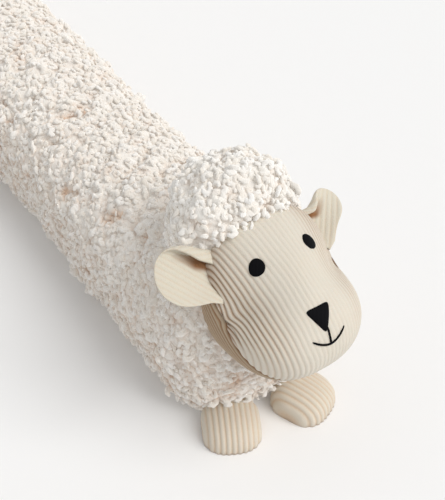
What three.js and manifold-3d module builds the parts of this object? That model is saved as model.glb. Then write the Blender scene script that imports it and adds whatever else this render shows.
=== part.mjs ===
// A sheep-shaped draught excluder: a long stuffed tube of curly fleece that lies along the foot
// of a door, with a corduroy face, two cupped corduroy ears and two corduroy feet at one end.
// Millimetres, +Z up. The sheep faces -Y, and its left side is on +X.
// The origin is on the floor, under the middle of the whole length.
import * as THREE from "three";
import { mergeVertices } from "three/addons/utils/BufferGeometryUtils.js";
import Module from "manifold-3d";

const wasm = await Module();
wasm.setup();

// Overall sizes.
const LENGTH = 900;
const MUZZLE_REACH = 60;
const GAP = 0.3;

// The fleece tube. Lengths along Y are measured from the line between the eyes.
// Below its middle the tube is fuller, because it settles on the floor.
const BODY = { halfWidth: 72, top: 125, middle: 60, under: 66, frontEnd: -3, endLength: 74, blunt: 3.3 };
const BODY_ROUND = { above: 2.3, below: 3.3 };
const BODY_RINGS = 56;
const BODY_SIDES = 34;
const BODY_LUMP = 3.4;
const BODY_SWELL = { height: 1.8, long: 61, short: 27 };
const RING_CROWDING = 0.35;

// The curly cap on the back of the head.
const CAP = { halfWidth: 49, middleY: 62, frontReach: 36, backReach: 46, middleZ: 152, rise: 58 };
const CAP_ROUND = { front: 2.5, back: 2.15 };
const CAP_LUMP = 2.6;
const CAP_RINGS = 17;
const CAP_SIDES = 28;

// The lumps of both fleeces: waves that cross each other, as turns per millimetre and a share.
const LUMP_WAVES = [
  { x: 0.17, y: 0.09, z: 0.05, start: 1.3, share: 0.3 },
  { x: -0.12, y: 0.19, z: 0.13, start: 0.6, share: 0.35 },
  { x: 0.07, y: -0.16, z: 0.18, start: 2.1, share: 0.3 },
  { x: 0.23, y: 0.31, z: 0.27, start: 0, share: 0.25 },
];

// The corduroy: ribs of one pitch and one height on every corduroy piece.
const RIB_PITCH = 4.45;
const RIB_HEIGHT = 0.9;

// The front of the head: its side view as a closed outline, round a centre, and its half width.
// Across the eyes and the bridge of the nose it is rounder from side to side, and narrower.
const HEAD = { halfWidth: 54, centreY: 6, centreZ: 125, round: 2.6 };
const BROW = { step: 1.8, spread: 1.35, rounder: 0.85, narrower: 0.16, fadesFrom: 0.5 };
const HEAD_OUTLINE = [
  { y: 34, z: 185 },
  { y: -2, z: 176 },
  { y: -31, z: 162.5 },
  { y: -50, z: 146 },
  { y: -60, z: 122 },
  { y: -52, z: 95 },
  { y: -25, z: 79 },
  { y: 20, z: 74 },
  { y: 45, z: 90 },
  { y: 60, z: 128 },
  { y: 55, z: 165 },
];

// On the face the ribs drift a little sideways and draw together towards the chin.
const RIB_DRIFT = { perStep: 2, noneAt: 1.5 };
const RIB_GATHER = { share: 0.3, from: 2.2, to: 5 };

// Three seams meet at the top of each ear: up over the forehead, down and forward to the chin,
// and down the side of the neck.
const SEAMS = {
  ear: { y: 37, z: 162 },
  forehead: { y: 30.5, z: 186 },
  chin: { y: -50, z: 93 },
  neck: { y: 21, z: 85 },
};

// The ears. Both are sewn into the same place of their seams, given here for the right side.
// Shares are parts of the ear's length: where it is widest, and where its rounded end starts.
// The fold at the upper edge may open towards the tip. Past the fold a flap lies over the front, and
// it narrows to nothing at its end, a share of the length.
const EAR = {
  buried: 8, thickness: 4.4, rootWidth: 40, cup: 5,
  foldRadius: 4.2, foldAngle: 2.85, flapEnd: 0.75,
};
const EAR_SHAPE = { widest: 0.55, roundFrom: 0.42, roundOver: 0.6, roundness: 2.4, thinner: 0.4 };
const EAR_ROOT = new THREE.Vector3(-45.5, 24.5, 153);
const EAR_ROOT_LINE = new THREE.Vector3(-5.4, -24.2, -17.3);
const EARS = [
  { name: "ear_right", side: -1, tip: new THREE.Vector3(-82, 42, 166), width: 50, flap: 9, opening: 0.1 },
  { name: "ear_left", side: 1, tip: new THREE.Vector3(-74.5, 37, 166.5), width: 30, flap: 3, opening: 0.6 },
];

// The feet, from the heel under the fleece to the toe.
const FOOT = { length: 51, width: 50, height: 25, round: 2.6, lowerToe: 0.12, doming: 0.8, crown: 0.7 };
const FEET = [
  { name: "foot_right", x: -46, y: -3, turn: -28 },
  { name: "foot_left", x: 19, y: -14, turn: 22 },
];

// The stitched face. Places are steps along the side view's outline, counted in its points.
const STITCH_RISE = 1.3;
const EYE = { x: 26, step: 0.97, radius: 6.1 };
const NOSE = { x: -2, step: 2.8, radius: 8.8, corner: 0.18 };
const MOUTH = { top: 3.28, middle: 3.68, end: 3.42, halfWidth: 14.5, curve: 1.7, line: 1.7, rise: 1 };

const FLEECE = new THREE.MeshStandardMaterial({ color: 0xece2d3, roughness: 0.95, metalness: 0 });
const CAP_FLEECE = new THREE.MeshStandardMaterial({ color: 0xf4eee6, roughness: 0.95, metalness: 0 });
const CORDUROY = new THREE.MeshStandardMaterial({ color: 0xe2d5bd, roughness: 0.88, metalness: 0 });
const THREAD = new THREE.MeshStandardMaterial({ color: 0x17171a, roughness: 0.6, metalness: 0 });

const sheep = new THREE.Group();
sheep.position.y = -(LENGTH / 2 - MUZZLE_REACH);

function addPiece(name, geometry, material) {
  const mesh = new THREE.Mesh(geometry, material.clone());
  mesh.name = name;
  sheep.add(mesh);
}

// A closed skin from rings of points, each end closed on a single point.
function ringsToSolid(rings, firstPoint, lastPoint) {
  const sides = rings[0].length;
  const points = [firstPoint, ...rings.flat(), lastPoint];
  const last = points.length - 1;
  const faces = [];
  for (let side = 0; side < sides; side += 1) {
    const next = (side + 1) % sides;
    faces.push(0, 1 + next, 1 + side);
    for (let ring = 0; ring + 1 < rings.length; ring += 1) {
      const here = 1 + ring * sides;
      const there = here + sides;
      faces.push(here + side, here + next, there + next, here + side, there + next, there + side);
    }
    const end = 1 + (rings.length - 1) * sides;
    faces.push(last, end + side, end + next);
  }
  return toSolid(points, faces);
}

function middleOf(ring) {
  return ring.reduce((sum, point) => sum.add(point), new THREE.Vector3()).divideScalar(ring.length);
}

// A manifold solid from points and faces, turned the right way out.
function toSolid(points, faces) {
  const geometry = new THREE.BufferGeometry();
  geometry.setAttribute("position", new THREE.Float32BufferAttribute(points.flatMap((p) => p.toArray()), 3));
  geometry.setIndex(faces);
  const merged = mergeVertices(geometry);
  const solid = makeManifold(merged);
  if (solid.volume() >= 0) {
    return solid;
  }
  merged.setIndex(Array.from(merged.index.array).reverse());
  return makeManifold(merged);
}

function makeManifold(geometry) {
  const vertProperties = new Float32Array(geometry.attributes.position.array);
  const triVerts = new Uint32Array(geometry.index.array);
  return new wasm.Manifold(new wasm.Mesh({ numProp: 3, vertProperties, triVerts }));
}

function toGeometry(solid) {
  const mesh = solid.getMesh();
  const geometry = new THREE.BufferGeometry();
  geometry.setAttribute("position", new THREE.Float32BufferAttribute(mesh.vertProperties, 3));
  geometry.setIndex(Array.from(mesh.triVerts));
  geometry.computeVertexNormals();
  return geometry;
}

// A block larger than the part. One face passes through a point of the side view, square to a
// normal that points out of the block.
const BLOCK_SIZE = 2 * LENGTH;

function blockBehind(point, normal) {
  const block = new THREE.BoxGeometry(BLOCK_SIZE, BLOCK_SIZE, BLOCK_SIZE);
  block.deleteAttribute("normal");
  block.deleteAttribute("uv");
  const away = new THREE.Vector3(0, normal.y, normal.z).normalize();
  const turn = new THREE.Quaternion().setFromUnitVectors(new THREE.Vector3(0, 0, 1), away);
  block.translate(0, 0, -BLOCK_SIZE / 2);
  block.applyQuaternion(turn);
  block.translate(0, point.y, point.z);
  return makeManifold(mergeVertices(block));
}

// The half space on one side of the seam line from a to b, moved aside by a distance.
// Seen with -Y on the left, the kept side is on the right of the way from a to b.
function besideSeam(a, b, aside) {
  const along = new THREE.Vector2(b.y - a.y, b.z - a.z).normalize();
  const normal = { y: -along.y, z: along.x };
  const point = { y: a.y - normal.y * aside, z: a.z - normal.z * aside };
  return blockBehind(point, normal);
}

function lump(point, height) {
  const waves = LUMP_WAVES.map((wave) => {
    return wave.share * Math.sin(wave.x * point.x + wave.y * point.y + wave.z * point.z + wave.start);
  });
  return height * waves.reduce((sum, wave) => sum + wave, 0);
}

// How the stuffing has settled: the tube swells and sinks slowly along its length.
function swell(y) {
  return BODY_SWELL.height * (Math.sin(y / BODY_SWELL.long) + Math.sin(y / BODY_SWELL.short) / 2);
}

// The signed power used by every rounded form: 2 gives an ellipse, more gives fuller corners.
function fullness(value, round) {
  return Math.sign(value) * Math.abs(value) ** (2 / round);
}

// The fleece tube: round sections, flat below, that close bluntly at both ends.
function bodySolid(grow) {
  const rearEnd = LENGTH - MUZZLE_REACH;
  const middleY = (BODY.frontEnd + rearEnd) / 2;
  const straight = (rearEnd - BODY.frontEnd) / 2 - BODY.endLength;
  const rings = [];
  for (let ring = 1; ring < BODY_RINGS; ring += 1) {
    const even = (2 * ring) / BODY_RINGS - 1;
    const crowded = -Math.cos((Math.PI * ring) / BODY_RINGS);
    const place = THREE.MathUtils.lerp(even, crowded, RING_CROWDING) * (straight + BODY.endLength);
    const past = Math.max(0, (Math.abs(place) - straight) / BODY.endLength);
    const size = (1 - Math.min(past, 1) ** BODY.blunt) ** (1 / BODY.blunt);
    rings.push(bodyRing(middleY + place, size, grow));
  }
  const front = new THREE.Vector3(0, BODY.frontEnd - grow, BODY.middle);
  const rear = new THREE.Vector3(0, rearEnd + grow, BODY.middle);
  return ringsToSolid(rings, front, rear).intersect(blockBehind({ y: 0, z: 0 }, { y: 0, z: -1 }));
}

function bodyRing(y, size, grow) {
  const points = [];
  for (let side = 0; side < BODY_SIDES; side += 1) {
    const angle = (2 * Math.PI * (side + 0.5)) / BODY_SIDES;
    const above = Math.sin(angle) > 0;
    const height = above ? BODY.top - BODY.middle : BODY.under;
    const round = above ? BODY_ROUND.above : BODY_ROUND.below;
    const x = fullness(Math.cos(angle), round) * BODY.halfWidth * size;
    const z = fullness(Math.sin(angle), round) * height * size;
    const point = new THREE.Vector3(x, y, BODY.middle + z);
    const out = new THREE.Vector3(x, 0, z).normalize();
    points.push(point.addScaledVector(out, grow + swell(y) * size + lump(point, BODY_LUMP)));
  }
  return points;
}

// The cap: a rounded form, steeper in front than behind.
function capSolid(grow) {
  const rings = [];
  for (let ring = 1; ring < CAP_RINGS; ring += 1) {
    const up = (Math.PI * ring) / CAP_RINGS - Math.PI / 2;
    const points = [];
    for (let side = 0; side < CAP_SIDES; side += 1) {
      points.push(capPoint(up, (2 * Math.PI * side) / CAP_SIDES, grow));
    }
    rings.push(points);
  }
  return ringsToSolid(rings, capPoint(-Math.PI / 2, 0, grow), capPoint(Math.PI / 2, 0, grow));
}

function capPoint(up, turn, grow) {
  const inFront = Math.sin(turn) < 0;
  const round = inFront ? CAP_ROUND.front : CAP_ROUND.back;
  const level = fullness(Math.cos(up), round);
  const offset = new THREE.Vector3(
    fullness(Math.cos(turn), round) * level * CAP.halfWidth,
    fullness(Math.sin(turn), round) * level * (inFront ? CAP.frontReach : CAP.backReach),
    fullness(Math.sin(up), round) * CAP.rise,
  );
  const point = new THREE.Vector3(0, CAP.middleY, CAP.middleZ).add(offset);
  return point.addScaledVector(offset.normalize(), grow + lump(point, CAP_LUMP));
}

// The head's side view: a smooth closed curve through the outline's points.
const HEAD_STEPS = HEAD_OUTLINE.length;

function outlineAt(step) {
  const first = Math.floor(step);
  const part = step - first;
  const [a, b, c, d] = [-1, 0, 1, 2].map((k) => HEAD_OUTLINE[(first + k + HEAD_STEPS) % HEAD_STEPS]);
  const smooth = (p, q, r, s) => {
    const cubic = (3 * q - p - 3 * r + s) * part ** 3 + (2 * p - 5 * q + 4 * r - s) * part ** 2;
    return (cubic + (r - p) * part) / 2 + q;
  };
  return { y: smooth(a.y, b.y, c.y, d.y), z: smooth(a.z, b.z, c.z, d.z) };
}

// The head narrows to each side as a rounded form: how much of the side view is left at x.
function shareAt(x, round) {
  const part = Math.min(Math.abs(x) / HEAD.halfWidth, 1);
  return (1 - part ** round) ** (1 / round);
}

// How much the brow shapes a row: 1 at its own step, fading before and after it.
function browAt(step) {
  const away = THREE.MathUtils.euclideanModulo(step - BROW.step + HEAD_STEPS / 2, HEAD_STEPS);
  return Math.exp(-(((away - HEAD_STEPS / 2) / BROW.spread) ** 2));
}

// The brow's narrowing of the width, where a share of the side view is left.
function narrowing(brow, share) {
  return 1 - BROW.narrower * brow * THREE.MathUtils.smoothstep(share, 0, BROW.fadesFrom);
}

function headSkin(x, step) {
  const brow = browAt(step);
  const share = shareAt(x, HEAD.round - BROW.rounder * brow);
  const outline = outlineAt(step);
  const y = HEAD.centreY + share * (outline.y - HEAD.centreY);
  const z = HEAD.centreZ + share * (outline.z - HEAD.centreZ);
  return new THREE.Vector3(x * narrowing(brow, share), y, z);
}

// A point above the head's skin, square to it.
const SMALL = 0.02;

function headPoint(x, step, rise) {
  const side = Math.min(Math.abs(x), HEAD.halfWidth - 2 * SMALL) * Math.sign(x);
  const across = headSkin(side + SMALL, step).sub(headSkin(side - SMALL, step));
  const along = headSkin(side, step + SMALL).sub(headSkin(side, step - SMALL));
  const out = along.cross(across).normalize();
  return headSkin(x, step).addScaledVector(out, rise);
}

// How far along the skin a place x lies from the middle, on a row at the height of the cheeks.
const GIRTH_STEPS = 240;
const CHEEK_DEPTH = 50;
const girthTable = [{ x: 0, girth: 0 }];
for (let step = 1; step <= GIRTH_STEPS; step += 1) {
  const before = girthTable[step - 1];
  const angle = (Math.PI / 2) * (step / GIRTH_STEPS);
  const x = HEAD.halfWidth * fullness(Math.sin(angle), HEAD.round);
  const drop = (shareAt(before.x, HEAD.round) - shareAt(x, HEAD.round)) * CHEEK_DEPTH;
  girthTable.push({ x, girth: before.girth + Math.hypot(x - before.x, drop) });
}
const HALF_GIRTH = girthTable[GIRTH_STEPS].girth;

function xAtGirth(girth) {
  const size = Math.min(Math.abs(girth), HALF_GIRTH);
  const after = Math.max(1, girthTable.findIndex((row) => row.girth >= size));
  const [a, b] = [girthTable[after - 1], girthTable[after]];
  const part = (size - a.girth) / (b.girth - a.girth);
  return Math.sign(girth) * (a.x + part * (b.x - a.x));
}

// Where a rib lies on one row. The outermost ribs stay in place.
function ribGirth(girth, step) {
  const free = 1 - (girth / HALF_GIRTH) ** 2;
  const gather = RIB_GATHER.share * THREE.MathUtils.smoothstep(step, RIB_GATHER.from, RIB_GATHER.to);
  return girth + free * (RIB_DRIFT.perStep * (step - RIB_DRIFT.noneAt) - gather * girth);
}

// The front of the head as a ribbed form: each column of points is a crest or a groove.
const PANEL_ROWS = [0, 0.4, 0.8, 1.2, 1.6, 2, 2.4, 2.8, 3.2, 3.6, 4, 4.4, 4.8, 5.2, 6.5, 8, 9.5];

function ribbedHead(grow) {
  const halfColumns = Math.floor((HALF_GIRTH - 1) / (RIB_PITCH / 2));
  const columns = [];
  for (let column = -halfColumns; column <= halfColumns; column += 1) {
    const rise = grow + (column % 2 === 0 ? RIB_HEIGHT / 2 : -RIB_HEIGHT / 2);
    const girth = (column * RIB_PITCH) / 2;
    columns.push(PANEL_ROWS.map((step) => headPoint(xAtGirth(ribGirth(girth, step)), step, rise)));
  }
  const pole = (side) => new THREE.Vector3(side * (HEAD.halfWidth + grow), HEAD.centreY, HEAD.centreZ);
  return ringsToSolid(columns, pole(-1), pole(1));
}

// What lies behind the forehead seam or, lower down, behind the neck seam.
function behindFace(aside) {
  return besideSeam(SEAMS.ear, SEAMS.forehead, aside).add(besideSeam(SEAMS.neck, SEAMS.ear, aside));
}

// The gusset: round the side and under the chin, with ribs that run along the chin seam.
const GUSSET_RINGS = 24;
const GUSSET_SIDES = 36;

function gussetForm(grow) {
  const along = new THREE.Vector3(0, SEAMS.chin.y - SEAMS.ear.y, SEAMS.chin.z - SEAMS.ear.z).normalize();
  const below = new THREE.Vector3(0, -along.z, along.y);
  const start = new THREE.Vector3(0, (SEAMS.ear.y + SEAMS.chin.y) / 2, (SEAMS.ear.z + SEAMS.chin.z) / 2);
  const middle = new THREE.Vector3(0, HEAD.centreY, HEAD.centreZ).sub(start);
  start.addScaledVector(along, middle.dot(along));
  const centres = Array.from({ length: GUSSET_RINGS }, (_, ring) => {
    const endGrowth = (ring === GUSSET_RINGS - 1 ? grow : 0) - (ring === 0 ? grow : 0);
    return start.clone().addScaledVector(below, GAP / 2 + (ring * RIB_PITCH) / 2 + endGrowth);
  });
  const rings = centres.map((centre, ring) => {
    return seamRing(centre, along, grow + (ring % 2 === 0 ? -RIB_HEIGHT / 2 : RIB_HEIGHT / 2));
  });
  return ringsToSolid(rings, centres[0], centres[GUSSET_RINGS - 1]);
}

// One ring of points where a plane along the chin seam meets the head's skin.
function seamRing(centre, along, rise) {
  const points = [];
  for (let side = 0; side < GUSSET_SIDES; side += 1) {
    const angle = (2 * Math.PI * side) / GUSSET_SIDES;
    const away = new THREE.Vector3(Math.sin(angle), 0, 0).addScaledVector(along, Math.cos(angle));
    points.push(centre.clone().addScaledVector(away, skinDistance(centre, away) + rise));
  }
  return points;
}

// How far the skin lies from a place inside the head, in one direction, found by halving.
const HALVINGS = 32;

function skinDistance(from, direction) {
  let [inside, outside] = [0, 3 * HEAD.halfWidth];
  for (let turn = 0; turn < HALVINGS; turn += 1) {
    const half = (inside + outside) / 2;
    const isInside = headFill(from.clone().addScaledVector(direction, half)) < 1;
    [inside, outside] = isInside ? [half, outside] : [inside, half];
  }
  return inside;
}

// Below 1 inside the head, 1 on its skin.
function headFill(point) {
  const y = point.y - HEAD.centreY;
  const z = point.z - HEAD.centreZ;
  const { reach, brow } = outlineReach(Math.atan2(z, y));
  const round = HEAD.round - BROW.rounder * brow;
  const share = Math.hypot(y, z) / reach;
  const width = HEAD.halfWidth * narrowing(brow, share);
  return (Math.abs(point.x) / width) ** round + share ** round;
}

// The reach of the side view's outline from its centre, and the brow's share in it, by angle.
// Each end is repeated.
const REACH_STEPS = 352;
const reachTable = Array.from({ length: REACH_STEPS }, (_, index) => {
  const step = (index * HEAD_STEPS) / REACH_STEPS;
  const outline = outlineAt(step);
  const y = outline.y - HEAD.centreY;
  const z = outline.z - HEAD.centreZ;
  return { angle: Math.atan2(z, y), reach: Math.hypot(y, z), brow: browAt(step) };
}).sort((a, b) => a.angle - b.angle);
const lastReach = reachTable[REACH_STEPS - 1];
reachTable.push({ ...reachTable[0], angle: reachTable[0].angle + 2 * Math.PI });
reachTable.unshift({ ...lastReach, angle: lastReach.angle - 2 * Math.PI });

function outlineReach(angle) {
  const after = reachTable.findIndex((row) => row.angle > angle);
  const [a, b] = [reachTable[after - 1], reachTable[after]];
  const part = (angle - a.angle) / (b.angle - a.angle);
  const { lerp } = THREE.MathUtils;
  return { reach: lerp(a.reach, b.reach, part), brow: lerp(a.brow, b.brow, part) };
}

// An ear: a doubled petal of corduroy, its upper edge folded forward into a cup.
const EAR_ROWS = 8;

function earSolid(ear) {
  const lengthways = ear.tip.clone().sub(EAR_ROOT);
  const length = lengthways.length();
  lengthways.normalize();
  const across = EAR_ROOT_LINE.clone();
  across.addScaledVector(lengthways, -across.dot(lengthways)).normalize();
  const facing = lengthways.clone().cross(across).normalize();
  const columns = 2 * Math.round((ear.width + ear.flap / 2) / RIB_PITCH);
  const skin = (row, column, layer) => {
    const far = (row / EAR_ROWS) * (length + EAR.buried) - EAR.buried;
    const part = (2 * column) / columns - 1;
    const place = petalPlace(far, part, length, ear);
    const rib = column % 2 === 0 ? RIB_HEIGHT / 2 : -RIB_HEIGHT / 2;
    const rise = layer * (EAR.thickness / 2 + rib) * place.full;
    const point = EAR_ROOT.clone().addScaledVector(lengthways, place.far);
    point.addScaledVector(across, place.across + rise * place.acrossOut);
    point.addScaledVector(facing, place.up + rise * place.upOut);
    return new THREE.Vector3(point.x * -ear.side, point.y, point.z);
  };
  const rings = [];
  for (let row = 0; row <= EAR_ROWS; row += 1) {
    const front = Array.from({ length: columns + 1 }, (_, column) => skin(row, column, 1));
    const back = Array.from({ length: columns + 1 }, (_, column) => skin(row, columns - column, -1));
    rings.push([...front, ...back]);
  }
  return ringsToSolid(rings, middleOf(rings[0]), middleOf(rings[rings.length - 1]));
}

// Where a point of the petal lies: far from the root, across, and up out of the ear's flat.
function petalPlace(far, part, length, ear) {
  const along = Math.max(0, far) / length;
  const widen = Math.sin(Math.min(1, along / EAR_SHAPE.widest) * (Math.PI / 2));
  const half = THREE.MathUtils.lerp(EAR.rootWidth, ear.width, widen) / 2;
  const flap = ear.flap * Math.max(0, 1 - along / EAR.flapEnd);
  const pastRound = Math.max(0, along - EAR_SHAPE.roundFrom) / EAR_SHAPE.roundOver;
  const roundOff = Math.sqrt(1 - pastRound ** EAR_SHAPE.roundness);
  const sheet = roundOff * THREE.MathUtils.lerp(-half - flap, half, (part + 1) / 2);
  const foldAngle = EAR.foldAngle * (1 - ear.opening * along ** 2);
  const foldStart = roundOff * (EAR.foldRadius * foldAngle - half);
  const folded = Math.max(0, foldStart - sheet);
  const turned = Math.min(foldAngle, folded / EAR.foldRadius);
  const straight = folded - turned * EAR.foldRadius;
  const flat = Math.max(sheet, foldStart);
  const cup = EAR.cup * (flat / half) ** 2;
  return {
    far,
    across: flat - EAR.foldRadius * Math.sin(turned) - straight * Math.cos(foldAngle),
    up: cup + EAR.foldRadius * (1 - Math.cos(turned)) + straight * Math.sin(foldAngle),
    acrossOut: Math.sin(turned),
    upOut: Math.cos(turned),
    full: 1 - EAR_SHAPE.thinner * along ** 4,
  };
}

// A foot: a domed cushion on a flat sole, lower towards the toe. Its ribs lie side by side and run
// from the heel to the toe, so each ring goes over the top along a crest or a groove.
const FOOT_STEPS = 12;
const SOLE_STEPS = 4;

function footSolid(foot) {
  const columns = 2 * Math.round(FOOT.width / RIB_PITCH);
  const rings = [];
  for (let column = 1; column < columns; column += 1) {
    const across = (2 * column) / columns - 1;
    const x = (across * FOOT.width) / 2;
    const groove = column % 2 === 0 ? RIB_HEIGHT : 0;
    const reach = superellipse(across, FOOT.round);
    const halfLength = FOOT.length / 2 - groove;
    const ring = [];
    for (let step = 0; step <= FOOT_STEPS; step += 1) {
      const along = -Math.cos((Math.PI * step) / FOOT_STEPS) * reach;
      const size = superellipse(along, FOOT.round);
      const dome = (1 - FOOT.lowerToe * along) * size ** FOOT.doming;
      const crown = Math.max(0, 1 - (across / size) ** 2) ** (FOOT.crown / 2);
      const onSole = step === 0 || step === FOOT_STEPS;
      const z = onSole ? 0 : Math.max(GAP, FOOT.height * dome * crown - groove);
      ring.push(new THREE.Vector3(x, -along * halfLength, z));
    }
    for (let step = 1; step < SOLE_STEPS; step += 1) {
      ring.push(new THREE.Vector3(x, reach * halfLength * ((2 * step) / SOLE_STEPS - 1), 0));
    }
    rings.push(ring);
  }
  const upright = new THREE.Vector3(0, 0, 1);
  const turn = new THREE.Quaternion().setFromAxisAngle(upright, THREE.MathUtils.degToRad(foot.turn));
  const place = (point) => point.applyQuaternion(turn).add(new THREE.Vector3(foot.x, foot.y, 0));
  const sides = [-1, 1].map((side) => place(new THREE.Vector3((side * FOOT.width) / 2, 0, 0)));
  return ringsToSolid(rings.map((ring) => ring.map(place)), ...sides);
}

// The height left of a rounded unit form at a place from -1 to 1 across it.
function superellipse(place, round) {
  return (1 - Math.abs(place) ** round) ** (1 / round);
}

// A stitched patch on the face: a low dome of satin stitch inside an outline round its middle.
const PATCH_SIDES = 18;
const STITCH_BASE = RIB_HEIGHT / 2 + GAP;

function patchSolid(x, step, reachAt) {
  const perStep = headSkin(x, step + SMALL).distanceTo(headSkin(x, step - SMALL)) / (2 * SMALL);
  const ringAt = (share, rise) =>
    Array.from({ length: PATCH_SIDES }, (_, side) => {
      const angle = (2 * Math.PI * side) / PATCH_SIDES;
      const reach = reachAt(angle) * share;
      return headPoint(x + reach * Math.cos(angle), step - (reach * Math.sin(angle)) / perStep, rise);
    });
  const rings = [
    ringAt(0.5, STITCH_BASE),
    ringAt(1, STITCH_BASE),
    ringAt(0.97, STITCH_BASE + STITCH_RISE * 0.6),
    ringAt(0.6, STITCH_BASE + STITCH_RISE),
  ];
  return ringsToSolid(rings, headPoint(x, step, STITCH_BASE), headPoint(x, step, STITCH_BASE + STITCH_RISE));
}

function noseReach(angle) {
  return NOSE.radius * (1 + NOSE.corner * Math.cos(3 * (angle + Math.PI / 2)));
}

// A stitched line on the face, through places given as x and step.
function lineSolid(places) {
  const points = places.map((place) => headPoint(place.x, place.step, STITCH_BASE));
  const rings = points.map((point, index) => {
    const before = points[Math.max(0, index - 1)];
    const after = points[Math.min(points.length - 1, index + 1)];
    const way = after.clone().sub(before).normalize();
    const out = headPoint(places[index].x, places[index].step, STITCH_BASE + 1).sub(point).normalize();
    const wide = way.clone().cross(out).normalize().multiplyScalar(MOUTH.line / 2);
    const high = out.multiplyScalar(MOUTH.rise);
    return [
      point.clone().sub(wide),
      point.clone().sub(wide).add(high),
      point.clone().add(wide).add(high),
      point.clone().add(wide),
    ];
  });
  return ringsToSolid(rings, middleOf(rings[0]), middleOf(rings[rings.length - 1]));
}

const MOUTH_STEPS = 7;

function mouthSolid() {
  const smile = Array.from({ length: 2 * MOUTH_STEPS + 1 }, (_, index) => {
    const part = index / MOUTH_STEPS - 1;
    const up = (MOUTH.middle - MOUTH.end) * Math.abs(part) ** MOUTH.curve;
    return { x: part * MOUTH.halfWidth, step: MOUTH.middle - up };
  });
  const stem = Array.from({ length: MOUTH_STEPS }, (_, index) => {
    return { x: 0, step: THREE.MathUtils.lerp(MOUTH.top, MOUTH.middle, index / (MOUTH_STEPS - 1)) };
  });
  return lineSolid(smile).add(lineSolid(stem));
}

// The head: the seams part the panel, the gusset and the fleece behind them.
const aboveChinSeam = besideSeam(SEAMS.ear, SEAMS.chin, GAP / 2);
const panel = ribbedHead(0).subtract(behindFace(-GAP / 2)).intersect(aboveChinSeam);
const gusset = gussetForm(0).subtract(behindFace(-GAP / 2));
const faceSpace = ribbedHead(GAP).add(gussetForm(GAP)).subtract(behindFace(GAP / 2));

const body = bodySolid(0).subtract(faceSpace);
const cap = capSolid(0).subtract(faceSpace).subtract(bodySolid(GAP));
const headSpace = ribbedHead(GAP).add(gussetForm(GAP)).add(capSolid(GAP));

addPiece("body", toGeometry(body), FLEECE);
addPiece("head_cap", toGeometry(cap), CAP_FLEECE);
addPiece("face_panel", toGeometry(panel), CORDUROY);
addPiece("face_gusset", toGeometry(gusset), CORDUROY);
for (const ear of EARS) {
  addPiece(ear.name, toGeometry(earSolid(ear).subtract(headSpace)), CORDUROY);
}
for (const foot of FEET) {
  addPiece(foot.name, toGeometry(footSolid(foot).subtract(bodySolid(GAP))), CORDUROY);
}
for (const [name, side] of [["eye_right", -1], ["eye_left", 1]]) {
  addPiece(name, toGeometry(patchSolid(side * EYE.x, EYE.step, () => EYE.radius)), THREAD);
}
addPiece("nose", toGeometry(patchSolid(NOSE.x, NOSE.step, noseReach)), THREAD);
addPiece("mouth", toGeometry(mouthSolid()), THREAD);

export default sheep;
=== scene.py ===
"""A sheep-shaped draught excluder: a stuffed tube of curly fleece with a corduroy face.

Lengths in the formulas are millimetres in the head's own frame. The eyes are near y 0, the sheep
faces -Y, its left side is on +X and the floor is z 0. to_scene turns them into metres in the frame.
"""
import math

import bpy
import numpy as np
from bpy.props import FloatProperty, FloatVectorProperty, IntProperty, PointerProperty
from mathutils import Matrix, Vector


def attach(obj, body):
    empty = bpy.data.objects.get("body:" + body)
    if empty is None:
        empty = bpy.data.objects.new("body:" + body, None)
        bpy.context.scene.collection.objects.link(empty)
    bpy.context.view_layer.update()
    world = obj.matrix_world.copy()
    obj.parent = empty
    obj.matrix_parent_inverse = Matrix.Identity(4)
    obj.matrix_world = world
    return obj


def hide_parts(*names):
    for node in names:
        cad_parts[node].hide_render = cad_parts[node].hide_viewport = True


bl_info = {
    "name": "Sheep Draught Excluder",
    "version": (1, 0, 0),
    "blender": (4, 5, 0),
    "location": "View3D > Sidebar > Sheep",
    "description": "Builds a stuffed fleece and corduroy draught excluder in the form of a sheep",
    "category": "Add Mesh",
}

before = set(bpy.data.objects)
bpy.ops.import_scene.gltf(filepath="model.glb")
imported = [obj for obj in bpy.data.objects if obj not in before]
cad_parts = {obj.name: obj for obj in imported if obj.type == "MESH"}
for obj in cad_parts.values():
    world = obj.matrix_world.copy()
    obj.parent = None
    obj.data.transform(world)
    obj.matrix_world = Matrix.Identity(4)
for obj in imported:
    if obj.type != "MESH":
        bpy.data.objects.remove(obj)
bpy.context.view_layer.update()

# Sizes shared with the solids, in millimetres.
LENGTH = 900.0
MUZZLE_REACH = 60.0
HEAD_TO_MIDDLE = LENGTH / 2 - MUZZLE_REACH

BODY = {"half_width": 72.0, "top": 125.0, "middle": 60.0, "under": 66.0, "front_end": -3.0,
        "end_length": 74.0, "blunt": 3.3}
BODY_ROUND = {"above": 2.3, "below": 3.3}
BODY_LUMP = 3.4
BODY_SWELL = {"height": 1.8, "long": 61.0, "short": 27.0}

CAP = {"half_width": 49.0, "middle_y": 62.0, "front_reach": 36.0, "back_reach": 46.0,
       "middle_z": 152.0, "rise": 58.0}
CAP_ROUND = {"front": 2.5, "back": 2.15}
CAP_LUMP = 2.6

# Waves per millimetre along x, y and z, where each wave starts, and its share of the height.
LUMP_WAVES = np.array([
    [0.17, 0.09, 0.05, 1.3, 0.3],
    [-0.12, 0.19, 0.13, 0.6, 0.35],
    [0.07, -0.16, 0.18, 2.1, 0.3],
    [0.23, 0.31, 0.27, 0.0, 0.25],
])

RIB_PITCH = 4.45
RIB_DRIFT = 2.0
RIB_GATHER = 0.3
# Each wave of the ribs' waver: its height, its angle per step and per millimetre, and its start.
RIB_WAVER = ((0.45, 1.9, 0.05, 0), (0.2, 5.3, 0.11, 1))
# The share of a rib's height that lies level with the head's skin.
RIB_LEVEL = 0.55

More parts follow.
